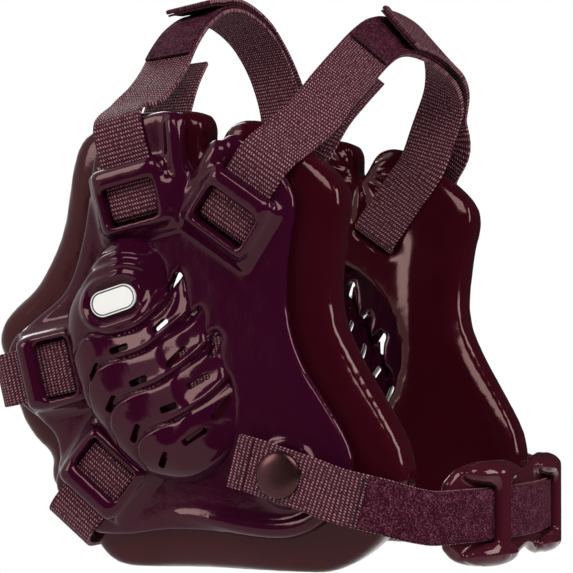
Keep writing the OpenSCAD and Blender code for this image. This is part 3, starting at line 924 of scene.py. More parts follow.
@dataclass
class EarCup:
    """One ear cup: pad, cover with loops and boss, ear dome and badge."""

    place: CupPlace = field(default_factory=CupPlace)
    pad_outline: tuple[Point, ...] = (
        (-9, 69.5), (-20, 66), (-28, 60), (-32, 49), (-35, 34), (-39, 23), (-47, 10), (-56, 2),
        (-61, -4), (-62.5, -11), (-60, -18), (-57, -29), (-54, -38), (-49, -45.5),
        (-43.5, -51), (-43.5, -58.5), (-39.6, -65), (-29.8, -76), (-21, -87), (-10, -90), (6, -89),
        (24, -89), (42, -90), (58, -90), (71, -85.5), (83, -75), (90, -60), (88.5, -46), (80, -30),
        (72, -16), (66.5, -2), (66, 12), (67.5, 26), (69.5, 37), (66, 46), (54, 56.5), (43.5, 63.6),
        (37, 65.9), (31, 65.5), (27.2, 62), (24.6, 57), (22, 54.2), (20.1, 55.2),
        (19.6, 60), (19.6, 65), (17.3, 68.6), (12, 70), (5, 70.3), (-1, 70),
    )
    cover_outline: tuple[Point, ...] = (
        (-8, 66.5), (-15, 62), (-19, 54), (-21, 42), (-24.5, 25), (-31, 9), (-43, -1),
        (-52.5, -8.5), (-55, -18), (-51.5, -30), (-43, -37), (-37, -43), (-35.5, -51),
        (-37.5, -60), (-33, -69), (-24, -76), (-10, -77), (5, -75), (22, -75), (40, -77),
        (54, -76), (66, -68), (73.5, -55), (72.5, -44), (64, -29), (57, -18), (52.5, -5),
        (51.5, 10), (53.5, 26), (55.5, 37), (51.5, 47), (42.5, 55), (38.5, 58.8), (35, 61),
        (31, 60.6), (27.5, 57), (24.3, 52.8), (21, 49.6), (18.4, 49.4), (16.4, 52.3), (15.4, 57),
        (15.3, 63), (15.2, 66.9), (13, 69.2), (8.6, 69.8), (4, 69.4), (-1, 68),
    )
    dome_outline: tuple[Point, ...] = (
        (-6.3, 26.6), (-14.5, 22.6), (-22, 12.5), (-27.5, 3), (-29, -6), (-27.5, -14),
        (-26, -22), (-22.5, -30), (-18, -37), (-11.5, -45.5), (-5, -52), (4, -56), (14, -57),
        (22, -54.6), (28.3, -49), (32, -41.5), (33.6, -34), (33.4, -27.5),
        (32, -22.6), (29.6, -20.4), (28.4, -15), (28.8, -8), (27.2, -4.4), (24.8, -6.8),
        (23, -8.6), (22.2, -5), (22.4, 1),
        (20.8, 4), (18.6, 1.8), (16.6, 1.4), (15.4, 8), (14.8, 13.6), (13, 16.8), (10.6, 12.8),
        (8.4, 9.8), (7, 15), (5.4, 20.5), (1, 24.8),
    )
    creases: tuple[tuple[Point, ...], ...] = (
        ((-31, -22), (-25.5, -15), (-20.9, -9.1), (-18, -6.6), (-14, -6.6), (-7.1, -6.2),
         (0.5, -4.2), (5.9, -0.8), (10, 4.2), (12, 10.3), (13.4, 14.8), (14.8, 19)),
        ((-19, -34), (-18.6, -30.2), (-18.7, -26.7), (-17.9, -23.3), (-16.1, -20.1), (-12.8, -17.2),
         (-8.2, -15.1), (-2.1, -13.5), (4.0, -11.3), (9.4, -7.7), (14.2, -2.6),
         (18.4, 2.6), (22, 7)),
        ((-9, -45), (-9.6, -41.1), (-10.4, -38.4), (-9.9, -34.9), (-7.9, -31.1), (-4.0, -28.0),
         (1.3, -25.5), (9.7, -22.2), (16.5, -17.7), (21.6, -12), (25.6, -6.6), (29, -2)),
        ((1.8, -54), (0.9, -50.2), (-0.1, -47.2), (0.4, -44.1), (2.7, -40.9), (7.7, -37.8),
         (15.3, -34.6), (22.8, -30.2), (28, -25), (31.6, -20), (34, -15)),
    )
    vents: tuple[tuple[float, float, float, float], ...] = (
        (-5, -11, 17, 6.5), (-15, -19, 58, 5.7), (2, -22, 20, 6.3), (-9, -30, 58, 5.7),
        (13, -31, 20, 5.8), (0, -40, 65, 6), (21, -41, 35, 7.5), (10, -49, 60, 5.4),
        (15, -14, 52, 7), (25.6, -10.8, 74, 7.6), (21.8, -22.4, 35, 6), (28.6, -32, 58, 8.2),
        (9.3, -3.3, 50, 4.4), (11.3, 11.3, 66, 6.2),
    )
    # The first vents stop at the black sheet under the dome, which shows in them as painted shade.
    blind_vents: int = 8
    vent_width: float = 2.4
    vent_spare: float = 1.0
    vent_depth: float = 26.0
    pad_in: float = 13.0
    pad_out: float = 6.0
    pad_round: float = 4.6
    pad_voxel: float = 2.2
    pad_swell: float = 0.7
    pad_fill: float = 0.9
    notch: Point = (22.0, 55.0)
    wall_low: float = 8.1
    wall_top: float = 12.7
    wall_round: float = 2.4
    wall_voxel: float = 0.75
    wall_smoothing: int = 11
    dome_rise: float = 12.5
    dome_wall: float = 1.6
    dome_foot: float = 0.6
    dome_opening: float = 0.9
    dome_grid: tuple[Point, Point] = ((-33.0, -60.5), (39.0, 30.5))
    # Thickness of the black sheet under the dome that is painted shade in the vents.
    shade_sheet_wall: float = 0.6
    ear_middle: Point = (7, -17)
    ear_half: Point = (33, 37)
    badge_middle: Point = (-7, 5.5)
    badge_turn: float = 17.0
    badge_half: Point = (8.6, 4.4)
    badge_level: float = 24.2
    badge_thick: float = 1.2
    pocket_margin: float = 2.8
    loops: tuple[Loop, ...] = (
        Loop(-2.5, 38.5, 103), Loop(32, 33, 55), Loop(-33, -18.5, 192), Loop(-15.5, -53.5, 230),
    )
    window: tuple[float, float] = (13.0, 20.6)
    frame_side: float = 3.4
    bridge: float = 6.0
    frame_rise: float = 5.6
    slot_length: float = 5.2
    boss_at: Point = (51, -54)
    boss_radius: float = 11.6
    boss_rise: float = 2.2
    lip: tuple[Triple, ...] = (
        (4.5, -69.4, 0.8), (12, -69.4, 1.8), (22, -70.2, 2.7), (34, -72.2, 3.1), (47, -73.2, 3.2),
        (57, -71, 3.1), (65, -65, 3.0), (69.5, -57, 2.6),
    )
    ribs: tuple[tuple[Triple, ...], ...] = (
        ((11.6, 65.6, 2.6), (12.2, 62, 3.0), (12.5, 57, 3.1), (13, 52, 3.1), (14, 47.5, 3.1),
         (13.8, 43, 2.9), (12.4, 38, 2.6), (11, 34.4, 2.2)),
        ((11, 34.4, 2.4), (7, 31.5, 2.0), (2, 29.6, 1.6)),
        ((11, 34.4, 2.4), (15.5, 31, 2.0), (20, 28.4, 1.6)),
        ((11, 34.4, 2.2), (14, 37, 2.4), (17.6, 41, 2.6), (21.3, 46, 2.8),
         (25, 52, 3.2), (28, 56.4, 3.2)),
    )
    mounds: tuple[tuple[Triple, ...], ...] = (
        ((10.0, 45, 2.6), (9.6, 42, 3.2), (9.2, 39.5, 3.2), (8.6, 37, 3.0)),
        ((24, 47.5, 3.6), (26.5, 51, 4.4), (29, 55, 4.2)),
    )

    def slot_cutters(self, low: float, high: float) -> list[Piece]:
        """Blocks for the strap slots through the cup.

        Args:
            low: the height of their undersides.
            high: the height of their tops.

        Returns:
            The blocks.
        """
        made = []
        for loop in self.loops:
            turn = math.radians(loop.turn)
            back = -self.window[0] / 2 + self.slot_length / 2
            at = (loop.u + back * math.cos(turn), loop.v + back * math.sin(turn), (low + high) / 2)
            size = (self.slot_length, self.window[1], high - low)
            made.append(block("slot", size, at, loop.turn, 1.2, 3, True))
        return made

    def ear_cutter(self, low: float, high: float) -> Piece:
        """A solid for the ear opening."""
        return prism("ear", oval(self.ear_middle, *self.ear_half), low, high)

    def loop_frame(self, loop: Loop) -> Piece:
        """A strap loop's raised frame with its window and the way under the bridge.

        Args:
            loop: the strap loop.

        Returns:
            The mesh object.
        """
        long, room = self.window
        low, high = -long / 2 - self.frame_side, long / 2 + self.bridge
        wide = room + 2 * self.frame_side
        middle, rise = (high + low) / 2, self.frame_rise
        turn = math.radians(loop.turn)

        def part(
            name: str, size: Triple, along: float, level: float, *edges: object
        ) -> Piece:
            """A block on the loop's line, at a level over the wall."""
            u, v = loop.u + along * math.cos(turn), loop.v + along * math.sin(turn)
            return block(name, size, (u, v, self.wall_top + level), loop.turn, *edges)

        crest = high - self.bridge / 2 + 0.4
        body = joined("frame", [
            part("frame", (high - low, wide, 2 * rise), middle, 0, 3.2, 4),
            part("skirt", (high - low + 3.4, wide + 4.4, 3.6), middle - 1.0, 0, 1.7, 3),
            part("mound", (self.bridge + 2.4, wide - 1.0, 7.2), crest, 2.9, 3.4, 5),
        ])
        cut(body, [part("window", (long, room, 4 * rise), 0, 2 * rise, 1.5, 3, True)])
        cut(body, [part("way", (4 * long, room, 2.5), 2 * long, 1.25)])
        return body

    def ridges(self) -> list[Piece]:
        """The rounded lip along the cover's lower edge and the ribs round its two top loops.

        Returns:
            The mesh objects.
        """
        rows = [("lip", self.lip, -0.3, 0.72)]
        rows += [("rib", rib, -0.2, 0.9) for rib in self.ribs]
        rows += [("mound", mound, level, 0.8) for mound, level in zip(self.mounds, (2.2, 0.6))]
        return [
            bead_row(name, np.array(line), self.wall_top + level, rise)
            for name, line, level, rise in rows
        ]

    def boss(self) -> Piece:
        """The ringed boss that carries the chin snap's stud.

        Returns:
            The mesh object.
        """
        radius, rise = self.boss_radius, self.boss_rise
        piece = lathe("boss", [
            (0, -2), (radius, -2), (radius, rise - 1.2), (radius - 0.4, rise - 0.3),
            (radius - 1.3, rise), (radius - 2.6, rise - 0.3), (radius - 3.2, rise - 1.2),
            (4.4, rise - 1.2), (4.0, rise), (0, rise),
        ])
        piece.location = (self.boss_at[0] * MM, self.boss_at[1] * MM, self.wall_top * MM)
        piece.rotation_euler = (math.radians(-self.place.cant), 0, 0)
        settle(piece)
        return piece

    def cover(self, name: str) -> Piece:
        """The moulded cover without its dome, in the cup's plane.

        Args:
            name: the object's name.

        Returns:
            The mesh object.
        """
        plate = prism(name, closed_curve(list(self.cover_outline), 4), self.wall_low, self.wall_top)
        round_plate(plate, self.wall_round, 4, False)
        boss = self.boss()
        frames = [self.loop_frame(loop) for loop in self.loops]
        piece = joined(name, [plate, boss, *self.ridges(), *frames])
        remesh(piece, self.wall_voxel)
        middle = np.mean(np.array(self.dome_outline), axis=0)
        hole = [
            tuple(middle + self.dome_opening * (np.array(p) - middle))
            for p in closed_curve(list(self.dome_outline), 3)
        ]
        slots = self.slot_cutters(self.wall_low - 2, self.wall_top + 0.8)
        cut(piece, [prism("under dome", hole, 0, 16), *slots])
        cut(piece, self.vent_cutters(range(self.blind_vents, len(self.vents))))
        remesh(piece, self.wall_voxel, self.wall_smoothing)
        return piece

    def dome_height(self, points: np.ndarray, plain: bool = False) -> np.ndarray:
        """Height of the dome's outside over the cup's plane.

        Args:
            points: places u, v in millimetres.
            plain: whether the blades and the badge's pocket are left out.

        Returns:
            The height w of each place, in millimetres.
        """
        outline = np.array(closed_curve(list(self.dome_outline), 4))
        gap, _, _ = distance_to(points, np.vstack([outline, outline[:1]]))
        deep = np.where(inside(points, outline), gap, -gap)
        inner, foot = deep + self.dome_foot, self.wall_top - 0.5
        part = np.clip(inner / 15.0, 0, 1)
        front = step_up((points[:, 0] - 4 + 0.25 * (points[:, 1] + 20)) / 20.0)
        front *= step_up((points[:, 1] + 58) / 22.0)
        bulge = np.sqrt(1 - (1 - part) ** 2)
        slope = step_up(np.clip((deep + 1.5) / 18.0, 0, 1))
        height = foot + self.dome_rise * (bulge + front * (slope - bulge))
        height = np.where(deep < -self.dome_foot, foot + inner * (2.0 - 1.4 * front), height)
        if plain:
            return height
        edge = step_up(inner / (4.0 - 2.6 * front))
        relief = np.zeros(len(points))
        for line in self.creases:
            run = open_curve(np.array(line, float), 4)
            near, side, share = distance_to(points, run)
            turn = step_up((share - 0.3) / 0.2) * 2 - 1
            depth = np.where(turn > 0, 1.15 + 1.9 * step_up((share - 0.5) / 0.4), 1.0)
            reach = np.where(turn > 0, 2.6 + 1.2 * step_up((share - 0.6) / 0.3), 3.4)
            depth = depth * (1 - step_up((share - 0.94) / 0.06))
            relief += -side * turn * depth * np.tanh(near / 0.45) * np.exp(-near / reach)
            relief -= 1.0 * np.exp(-(near / 0.8) ** 2)
        pocket = self.pocket_gap(points)
        height += relief * edge * step_up((pocket - 0.5) / 2.5)
        floor = self.badge_level - 1.6
        rim = np.exp(-((pocket - 0.8) / 1.1) ** 2) * 0.9
        off = points - np.array(self.badge_middle)
        upper = step_up((off[:, 1] + 0.35 * off[:, 0] + 3.0) / 7.0)
        for ring, rise in ((4.2, 1.2), (8.0, 1.3)):
            rim += rise * np.exp(-((pocket - ring) / 1.15) ** 2) * upper * step_up((deep - 1) / 3)
        height += rim
        sunk = floor + (height - floor) * step_up((pocket + 2.2) / 2.2)
        return np.where(pocket < 0, sunk, height)

    def pocket_gap(self, points: np.ndarray) -> np.ndarray:
        """Distance outside the badge's pocket, negative inside it.

        Args:
            points: places u, v in millimetres.

        Returns:
            The distances, in millimetres.
        """
        turn = math.radians(self.badge_turn)
        off = points - np.array(self.badge_middle)
        along = off[:, 0] * math.cos(turn) + off[:, 1] * math.sin(turn)
        across = -off[:, 0] * math.sin(turn) + off[:, 1] * math.cos(turn)
        reach = np.maximum(np.abs(along) - (self.badge_half[0] - self.badge_half[1]), 0)
        return np.hypot(reach, across) - (self.badge_half[1] + self.pocket_margin)

    def dome_sheet(self, name: str, plain: bool) -> Piece:
        """The dome as an open sheet: its outside, or the plain sheet a wall below it, which stands
        for painted shade in the vents.

        Args:
            name: the object's name.
            plain: whether it is the sheet below, the painted shade.

        Returns:
            The mesh object.
        """
        deselect()
        low, high = np.array(self.dome_grid)
        across, along = np.rint((high - low) / (0.95 if plain else 0.5)).astype(int).tolist()
        bpy.ops.mesh.primitive_grid_add(x_subdivisions=across, y_subdivisions=along, size=2)
        piece = bpy.context.object
        piece.name = name
        points = low + (coords(piece)[:, :2] + 1) / 2 * (high - low)
        height = self.dome_height(points)
        if plain:
            height = np.minimum(self.dome_height(points, True) - 3.6, height - self.dome_wall - 2.0)
        set_coords(piece, np.column_stack([points, height]) * MM)
        keep = self.wall_top - 2.0
        select_faces(piece, lambda centre, normal: centre.z < keep * MM)
        bpy.ops.mesh.delete(type="FACE")
        leave_edit()
        return piece

    def vent_cutters(self, which: range) -> list[Piece]:
        """Rounded blocks for some of the vents.

        Args:
            which: the vents' numbers.

        Returns:
            The blocks.
        """
        made = []
        for u, v, turn, length in self.vents[which.start:which.stop]:
            size = (length + self.vent_spare, self.vent_width, self.vent_depth)
            made.append(block("vent", size, (u, v, self.wall_top + 7), turn, 0.9, 4, True))
        return made

    def dome(self, name: str) -> Piece:
        """The hollow ear dome, vented through its skin, over a black sheet that closes the first
        vents as painted shade; the other vents go through both.

        Args:
            name: the object's name.

        Returns:
            The mesh object.
        """
        piece = self.dome_sheet(name, False)
        add_modifier(piece, "SMOOTH", factor=0.4, iterations=1)
        add_modifier(piece, "SOLIDIFY", thickness=self.dome_wall * MM, offset=-1)
        cut(piece, self.vent_cutters(range(len(self.vents))))
        # Painted shade: a plain black, barely glossy sheet under the dome, seen through the first
        # vents in place of the shaded inside of the cup.
        shade_sheet = self.dome_sheet("shade_sheet", True)
        add_modifier(shade_sheet, "SOLIDIFY", thickness=self.shade_sheet_wall * MM, offset=-1)
        cut(shade_sheet, self.vent_cutters(range(self.blind_vents, len(self.vents))))
        # The sheet takes the second material, the black plastic that is the painted shade.
        for polygon in shade_sheet.data.polygons:
            polygon.material_index = 1
        return joined(name, [piece, shade_sheet])

    def pad(self, name: str) -> Piece:
        """The vinyl-covered foam pad, in the cup's plane: blown up a little by cloth pressure.

        Args:
            name: the object's name.

        Returns:
            The mesh object.
        """
        outline = closed_curve(list(self.pad_outline), 3)
        piece = prism(name, outline, -self.pad_in, self.pad_out)
        round_plate(piece, self.pad_round, 4)
        low, high = -self.pad_in - 3, self.pad_out + 3
        cut(piece, [self.ear_cutter(low, high)])
        cut(piece, self.slot_cutters(low, high))
        remesh(piece, self.pad_voxel)
        self.blow_up(piece, self.pad_swell)
        add_modifier(piece, "SUBSURF", levels=1, render_levels=1)
        self.pucker(piece)
        return piece

    def blow_up(self, piece: Piece, cap: float) -> None:
        """Swell a pad with cloth pressure, no point moving further than the cap.

        Args:
            piece: the pad.
            cap: the furthest that a point may move, in millimetres.
        """
        before, frames = coords(piece), 14
        cloth = piece.modifiers.new("Cloth", "CLOTH")
        cloth.settings.use_pressure = True
        cloth.settings.uniform_pressure_force = 4
        cloth.settings.effector_weights.gravity = 0
        cloth.settings.tension_stiffness = 40
        cloth.settings.bending_stiffness = 4
        cloth.point_cache.frame_end = frames
        for step in range(1, frames + 1):
            bpy.context.scene.frame_set(step)
        apply_modifiers(piece)
        bpy.context.scene.frame_set(1)
        move = coords(piece) - before
        length = np.linalg.norm(move, axis=1)[:, None]
        share = np.minimum(1, cap * MM / np.maximum(length, 1e-9))
        set_coords(piece, before + move * share)

    def pucker(self, piece: Piece) -> None:
        """Gather the skin of the pad's inner face round the notch between its two horns.

        Args:
            piece: the mesh object.
        """
        points = coords(piece) / MM
        off = points[:, :2] - np.array(self.notch)
        reach = np.hypot(off[:, 0], off[:, 1])
        turn = np.arctan2(off[:, 1], off[:, 0])
        folds = np.sin(13 * turn + 1.5 * np.sin(3 * turn) + 0.1 * reach)
        folds += 0.45 * np.sin(19 * turn + 0.3 * reach)
        face = step_up((-points[:, 2] - self.pad_in + 4.5) / 3)
        fade = np.exp(-((reach - 12) / 9) ** 2) * step_up((reach - 2) / 5) * face
        points[:, 2] -= 0.8 * folds * fade
        set_coords(piece, points * MM)
        add_modifier(piece, "SMOOTH", factor=0.5, iterations=2)

    def badge(self, name: str) -> Piece:
        """The blank oval badge with its border line, in the cup's plane.

        Args:
            name: the object's name.

        Returns:
            The mesh object.
        """
        half, thick = self.badge_half, self.badge_thick
        size = (2 * half[0], 2 * half[1], thick)
        piece = block(name, size, (0, 0, 0), 0, half[1] - 0.05, 14, True)
        for thickness, depth in ((0.35, 0.0), (0.28, -0.12), (0.22, 0.0)):
            select_faces(piece, lambda centre, normal: normal.z > 0.99 and self.middle_face(centre))
            bpy.ops.mesh.inset(thickness=thickness * MM, depth=depth * MM)
            leave_edit()
        for polygon in piece.data.polygons:
            if polygon.center.z < thick / 2 * MM - 1e-6 and polygon.normal.z > 0.05:
                polygon.material_index = 1 if self.on_line(polygon.center) else 0
        piece.rotation_euler = (0, 0, math.radians(self.badge_turn))
        piece.location = [
            value * MM for value in (*self.badge_middle, self.badge_level - thick / 2)
        ]
        settle(piece)
        return piece

    def middle_face(self, centre: Vector) -> bool:
        """Whether a face of the badge is its middle one."""
        return math.hypot(centre.x, centre.y) < 0.3 * MM

    def on_line(self, centre: Vector) -> bool:
        """Whether a face of the badge lies on its border line.

        Args:
            centre: the face's centre, in metres.

        Returns:
            True if it does.
        """
        reach = max(abs(centre.x) / MM - (self.badge_half[0] - self.badge_half[1]), 0)
        gap = self.badge_half[1] - math.hypot(reach, centre.y / MM)
        return 0.3 < gap < 0.75

    def put(self, piece: Piece, side: Side, name: str) -> Piece:
        """A copy of a piece made in the cup's plane, with its own mesh, on one cup.

        Args:
            piece: the piece in the cup's plane.
            side: the cup.
            name: the copy's name.

        Returns:
            The copy, in the frame.
        """
        copy = piece.copy()
        copy.data = piece.data.copy()
        copy.name = name
        bpy.context.scene.collection.objects.link(copy)
        copy.data.transform(self.place.matrix(side))
        if side is Side.LEFT:
            copy.data.flip_normals()
        return copy

    def build(self, finishes: Palette) -> list[Piece]:
        """Make and dress both cups.

        Args:
            finishes: the materials.

        Returns:
            The pieces.
        """
        patterns = (
            (self.cover("cover"), (finishes.cover,), ("shell",), "vinyl_cover"),
            # The dome's second material is the black plastic of its under-sheet, painted shade in
            # the vents.
            (self.dome("ear_dome"), (finishes.cover, finishes.insert), ("shell",), "vinyl_cover"),
            (self.pad("foam_pad"), (finishes.pad,), ("pad", "liner"), "vinyl_pad"),
            (self.badge("blank_badge"), (finishes.white, finishes.line), ("badge",), "badge_white"),
        )
        made = []
        for pattern, materials, parts, slot in patterns:
            word = pattern.name
            dress(pattern, *materials)
            smooth(pattern, 50 if word != "blank_badge" else 30)
            for side in Side:
                piece = self.put(pattern, side, f"{side.word}_{word}")
                if word == "foam_pad":
                    points = coords(piece)
                    points[:, 2] = np.maximum(points[:, 2], 0)
                    set_coords(piece, points)
                nodes = [f"{side.word}_{part}" for part in parts]
                assign(piece, slot, f"{side.word}_cup", *nodes)
                made.append(piece)
            bpy.data.objects.remove(pattern)
        return made


# -------------------------------------------------------------------- straps


@dataclass
class Band:
    """A flat band of webbing or tape along rows of centre points and width directions."""

    name: str
    rows: Rows
    width: float
    thickness: float
    offset: float = 0.0
    crown: float = 0.0

    def frames(self) -> tuple[np.ndarray, np.ndarray, np.ndarray]:
        """The centres, width directions and normals of the rows.

        Returns:
            All three, one row each.
        """
        points, across = self.rows[:, :3], self.rows[:, 3:]
        run = np.vstack([
            points[1:2] - points[:1], points[2:] - points[:-2], points[-1:] - points[-2:-1]
        ])
        run /= np.linalg.norm(run, axis=1)[:, None]
        b = across - np.sum(across * run, axis=1)[:, None] * run
        b /= np.linalg.norm(b, axis=1)[:, None]
        return points, b, np.cross(b, run)

    def build(self, columns: int = 8) -> Piece:
        """Model the band from a grid, with its thickness and softened edges.

        Args:
            columns: the steps across the band.

        Returns:
            The mesh object, with a UV map in millimetres.
        """
        points, across, normal = self.frames()
        steps = len(points) - 1
        deselect()
        bpy.ops.mesh.primitive_grid_add(x_subdivisions=steps, y_subdivisions=columns, size=2)
        piece = bpy.context.object
        piece.name = self.name
        flat = coords(piece)
        i = np.rint((flat[:, 0] + 1) / 2 * steps).astype(int)
        t = flat[:, 1]
        length = np.concatenate([[0], np.cumsum(np.linalg.norm(np.diff(points, axis=0), axis=1))])
        lift = self.offset + self.crown * (1 - t * t)
        edge = self.width / 2 - self.thickness * 0.15
        place = points[i] + across[i] * (t * edge)[:, None] + normal[i] * lift[:, None]
        set_coords(piece, place * MM)
        layer = piece.data.uv_layers[0] if piece.data.uv_layers else piece.data.uv_layers.new()
        layer.name = "Strap"
        corner = np.zeros(len(piece.data.loops), np.int32)
        piece.data.loops.foreach_get("vertex_index", corner)
        uv = np.column_stack([length[i][corner], t[corner] * self.width / 2 + self.width])
        layer.data.foreach_set("uv", uv.astype(np.float32).ravel())
        add_modifier(piece, "SOLIDIFY", thickness=self.thickness * MM, offset=0)
        add_modifier(
            piece, "BEVEL", width=self.thickness * 0.3 * MM, segments=2, limit_method="ANGLE",
            angle_limit=math.radians(50),
        )
        smooth(piece, 45)
        return piece


@dataclass(frozen=True)
class CrownPath:
    """The path of one crown strap and what lies on it.

    A row between the cups holds x as a share of the half spacing, y and z from the cup's origin
    and the y and z of the way across the webbing. A pair on a loop's line holds a place and a
    height over the wearer's side or the outside. The tapes' ends are rows of the carrying run.
    """

    word: str
    loop: int
    start: tuple[Reach, ...]
    over: tuple[Point, ...]
    arc: tuple[Reach, ...]
    carries: tuple[int, int]
    entry: Point
    back: Reach
    rise: tuple[Point, ...]
    pile: tuple[int, int]
    tail: tuple[int, int]
    hook: tuple[int, int]


FRONT = CrownPath(
    "front", 1,
    start=((-0.32, -57, 87.9, -0.66, -0.75), (-0.507, -56, 80.4, -0.68, -0.73),
           (-0.68, -53, 70.4, -0.74, -0.67), (-0.787, -48, 56.9, -0.8, -0.6)),
    over=((22, 0), (27.5, -3.6), (31.5, -9.5)),
    arc=((-0.96, -55.5, 66.9, -0.76, -0.65), (-0.8, -58, 76.4, -0.74, -0.67),
         (-0.587, -59.5, 85.9, -0.7, -0.71), (-0.32, -59.5, 95.4, -0.67, -0.74),
         (-0.053, -58.5, 101.4, -0.64, -0.77), (0.213, -58.5, 102.9, -0.64, -0.77),
         (0.507, -59.5, 100.4, -0.66, -0.75), (0.733, -60, 94.4, -0.7, -0.71),
         (0.867, -58, 84.4, -0.74, -0.67), (0.887, -53.5, 71.9, -0.78, -0.62)),
    carries=(1, 10), entry=(30, 0), back=(1.04, -56.5, 67.4, -0.78, -0.62),
    rise=((30, 3), (27, 0), (24, 0), (21.1, 0)), pile=(7, 21), tail=(12, 21), hook=(12, 20),
)
REAR = CrownPath(
    "rear", 0,
    start=((-0.48, 8, 90.4, -0.98, 0.1), (-0.613, 7.5, 81.9, -0.98, 0.06),
           (-0.713, 7, 72.9, -0.98, 0), (-0.787, 6.5, 64.9, -0.98, -0.08)),
    over=((24.5, 0), (29.5, -2), (33, -8)),
    arc=((-1.027, 8, 73.6, -0.98, 0.02), (-0.893, 7, 79.6, -0.98, 0.04),
         (-0.733, 8, 86.9, -0.98, 0.07), (-0.547, 10, 96.4, -0.98, 0.12),
         (-0.32, 12, 105.4, -0.98, 0.16), (-0.053, 13, 112.4, -0.98, 0.19),
         (0.213, 13, 113.4, -0.98, 0.19), (0.48, 12, 108.4, -0.98, 0.16),
         (0.68, 11, 98.9, -0.98, 0.1), (0.78, 9.5, 87.9, -0.98, 0.02),
         (0.82, 8.5, 77.9, -0.98, -0.03)),
    carries=(2, 11), entry=(28, -1.5), back=(1.02, 9, 73.9, -0.98, 0.02),
    rise=((30, 4), (27, 1), (24, 0), (21.1, 0)), pile=(2, 21), tail=(9, 21), hook=(9, 20),
)


@dataclass(frozen=True)
class BackPath:
    """The path of one back strap up to its middle, with rows as in a CrownPath."""

    word: str
    loop: int
    over: tuple[Point, ...]
    middle: tuple[Reach, ...]


BACK = (
    BackPath(
        "upper_back", 2, ((21, 0), (25.2, -3), (27.9, -9.5), (28.8, -16), (29, -25)),
        ((-0.707, 65, -23.6, 0.12, 0.98), (-0.48, 68, -24.1, 0, 1), (-0.2, 70, -25.1, 0, 1)),
    ),
    BackPath(
        "lower_back", 3, ((21.5, 0), (26.2, -2.4), (28.9, -8.5), (29.9, -16), (30.6, -25)),
        ((-0.667, 41.5, -74.1, 0.4, 0.9), (-0.48, 46.5, -74.6, 0.2, 0.98), (-0.2, 50, -75.1, 0, 1)),
    ),
)


def stitch_row(name: str, band: Band, row: int, level: float, count: int = 7) -> Piece:
    """A row of stitches across a band.

    Args:
        name: the object's name.
        band: the band that is sewn.
        row: the row of its path that the stitches lie on.
        level: their height over the band's middle, negative on its other face.
        count: how many stitches.

    Returns:
        The mesh object.
    """
    points, across, normal = band.frames()
    pitch = (band.width - 2.0) / count
    made = []
    for k in range(count):
        middle = points[row] + across[row] * pitch * (k - (count - 1) / 2) + normal[row] * level
        stitch = ellipsoid((0, 0, 0), (pitch * 0.42, 0.42, 0.32))
        turn = Matrix((across[row], np.cross(normal[row], across[row]), normal[row])).transposed()
        stitch.matrix_world = Matrix.Translation(middle * MM) @ turn.to_4x4()
        settle(stitch)
        made.append(stitch)
    piece = joined(name, made)
    smooth(piece, 60)
    return piece


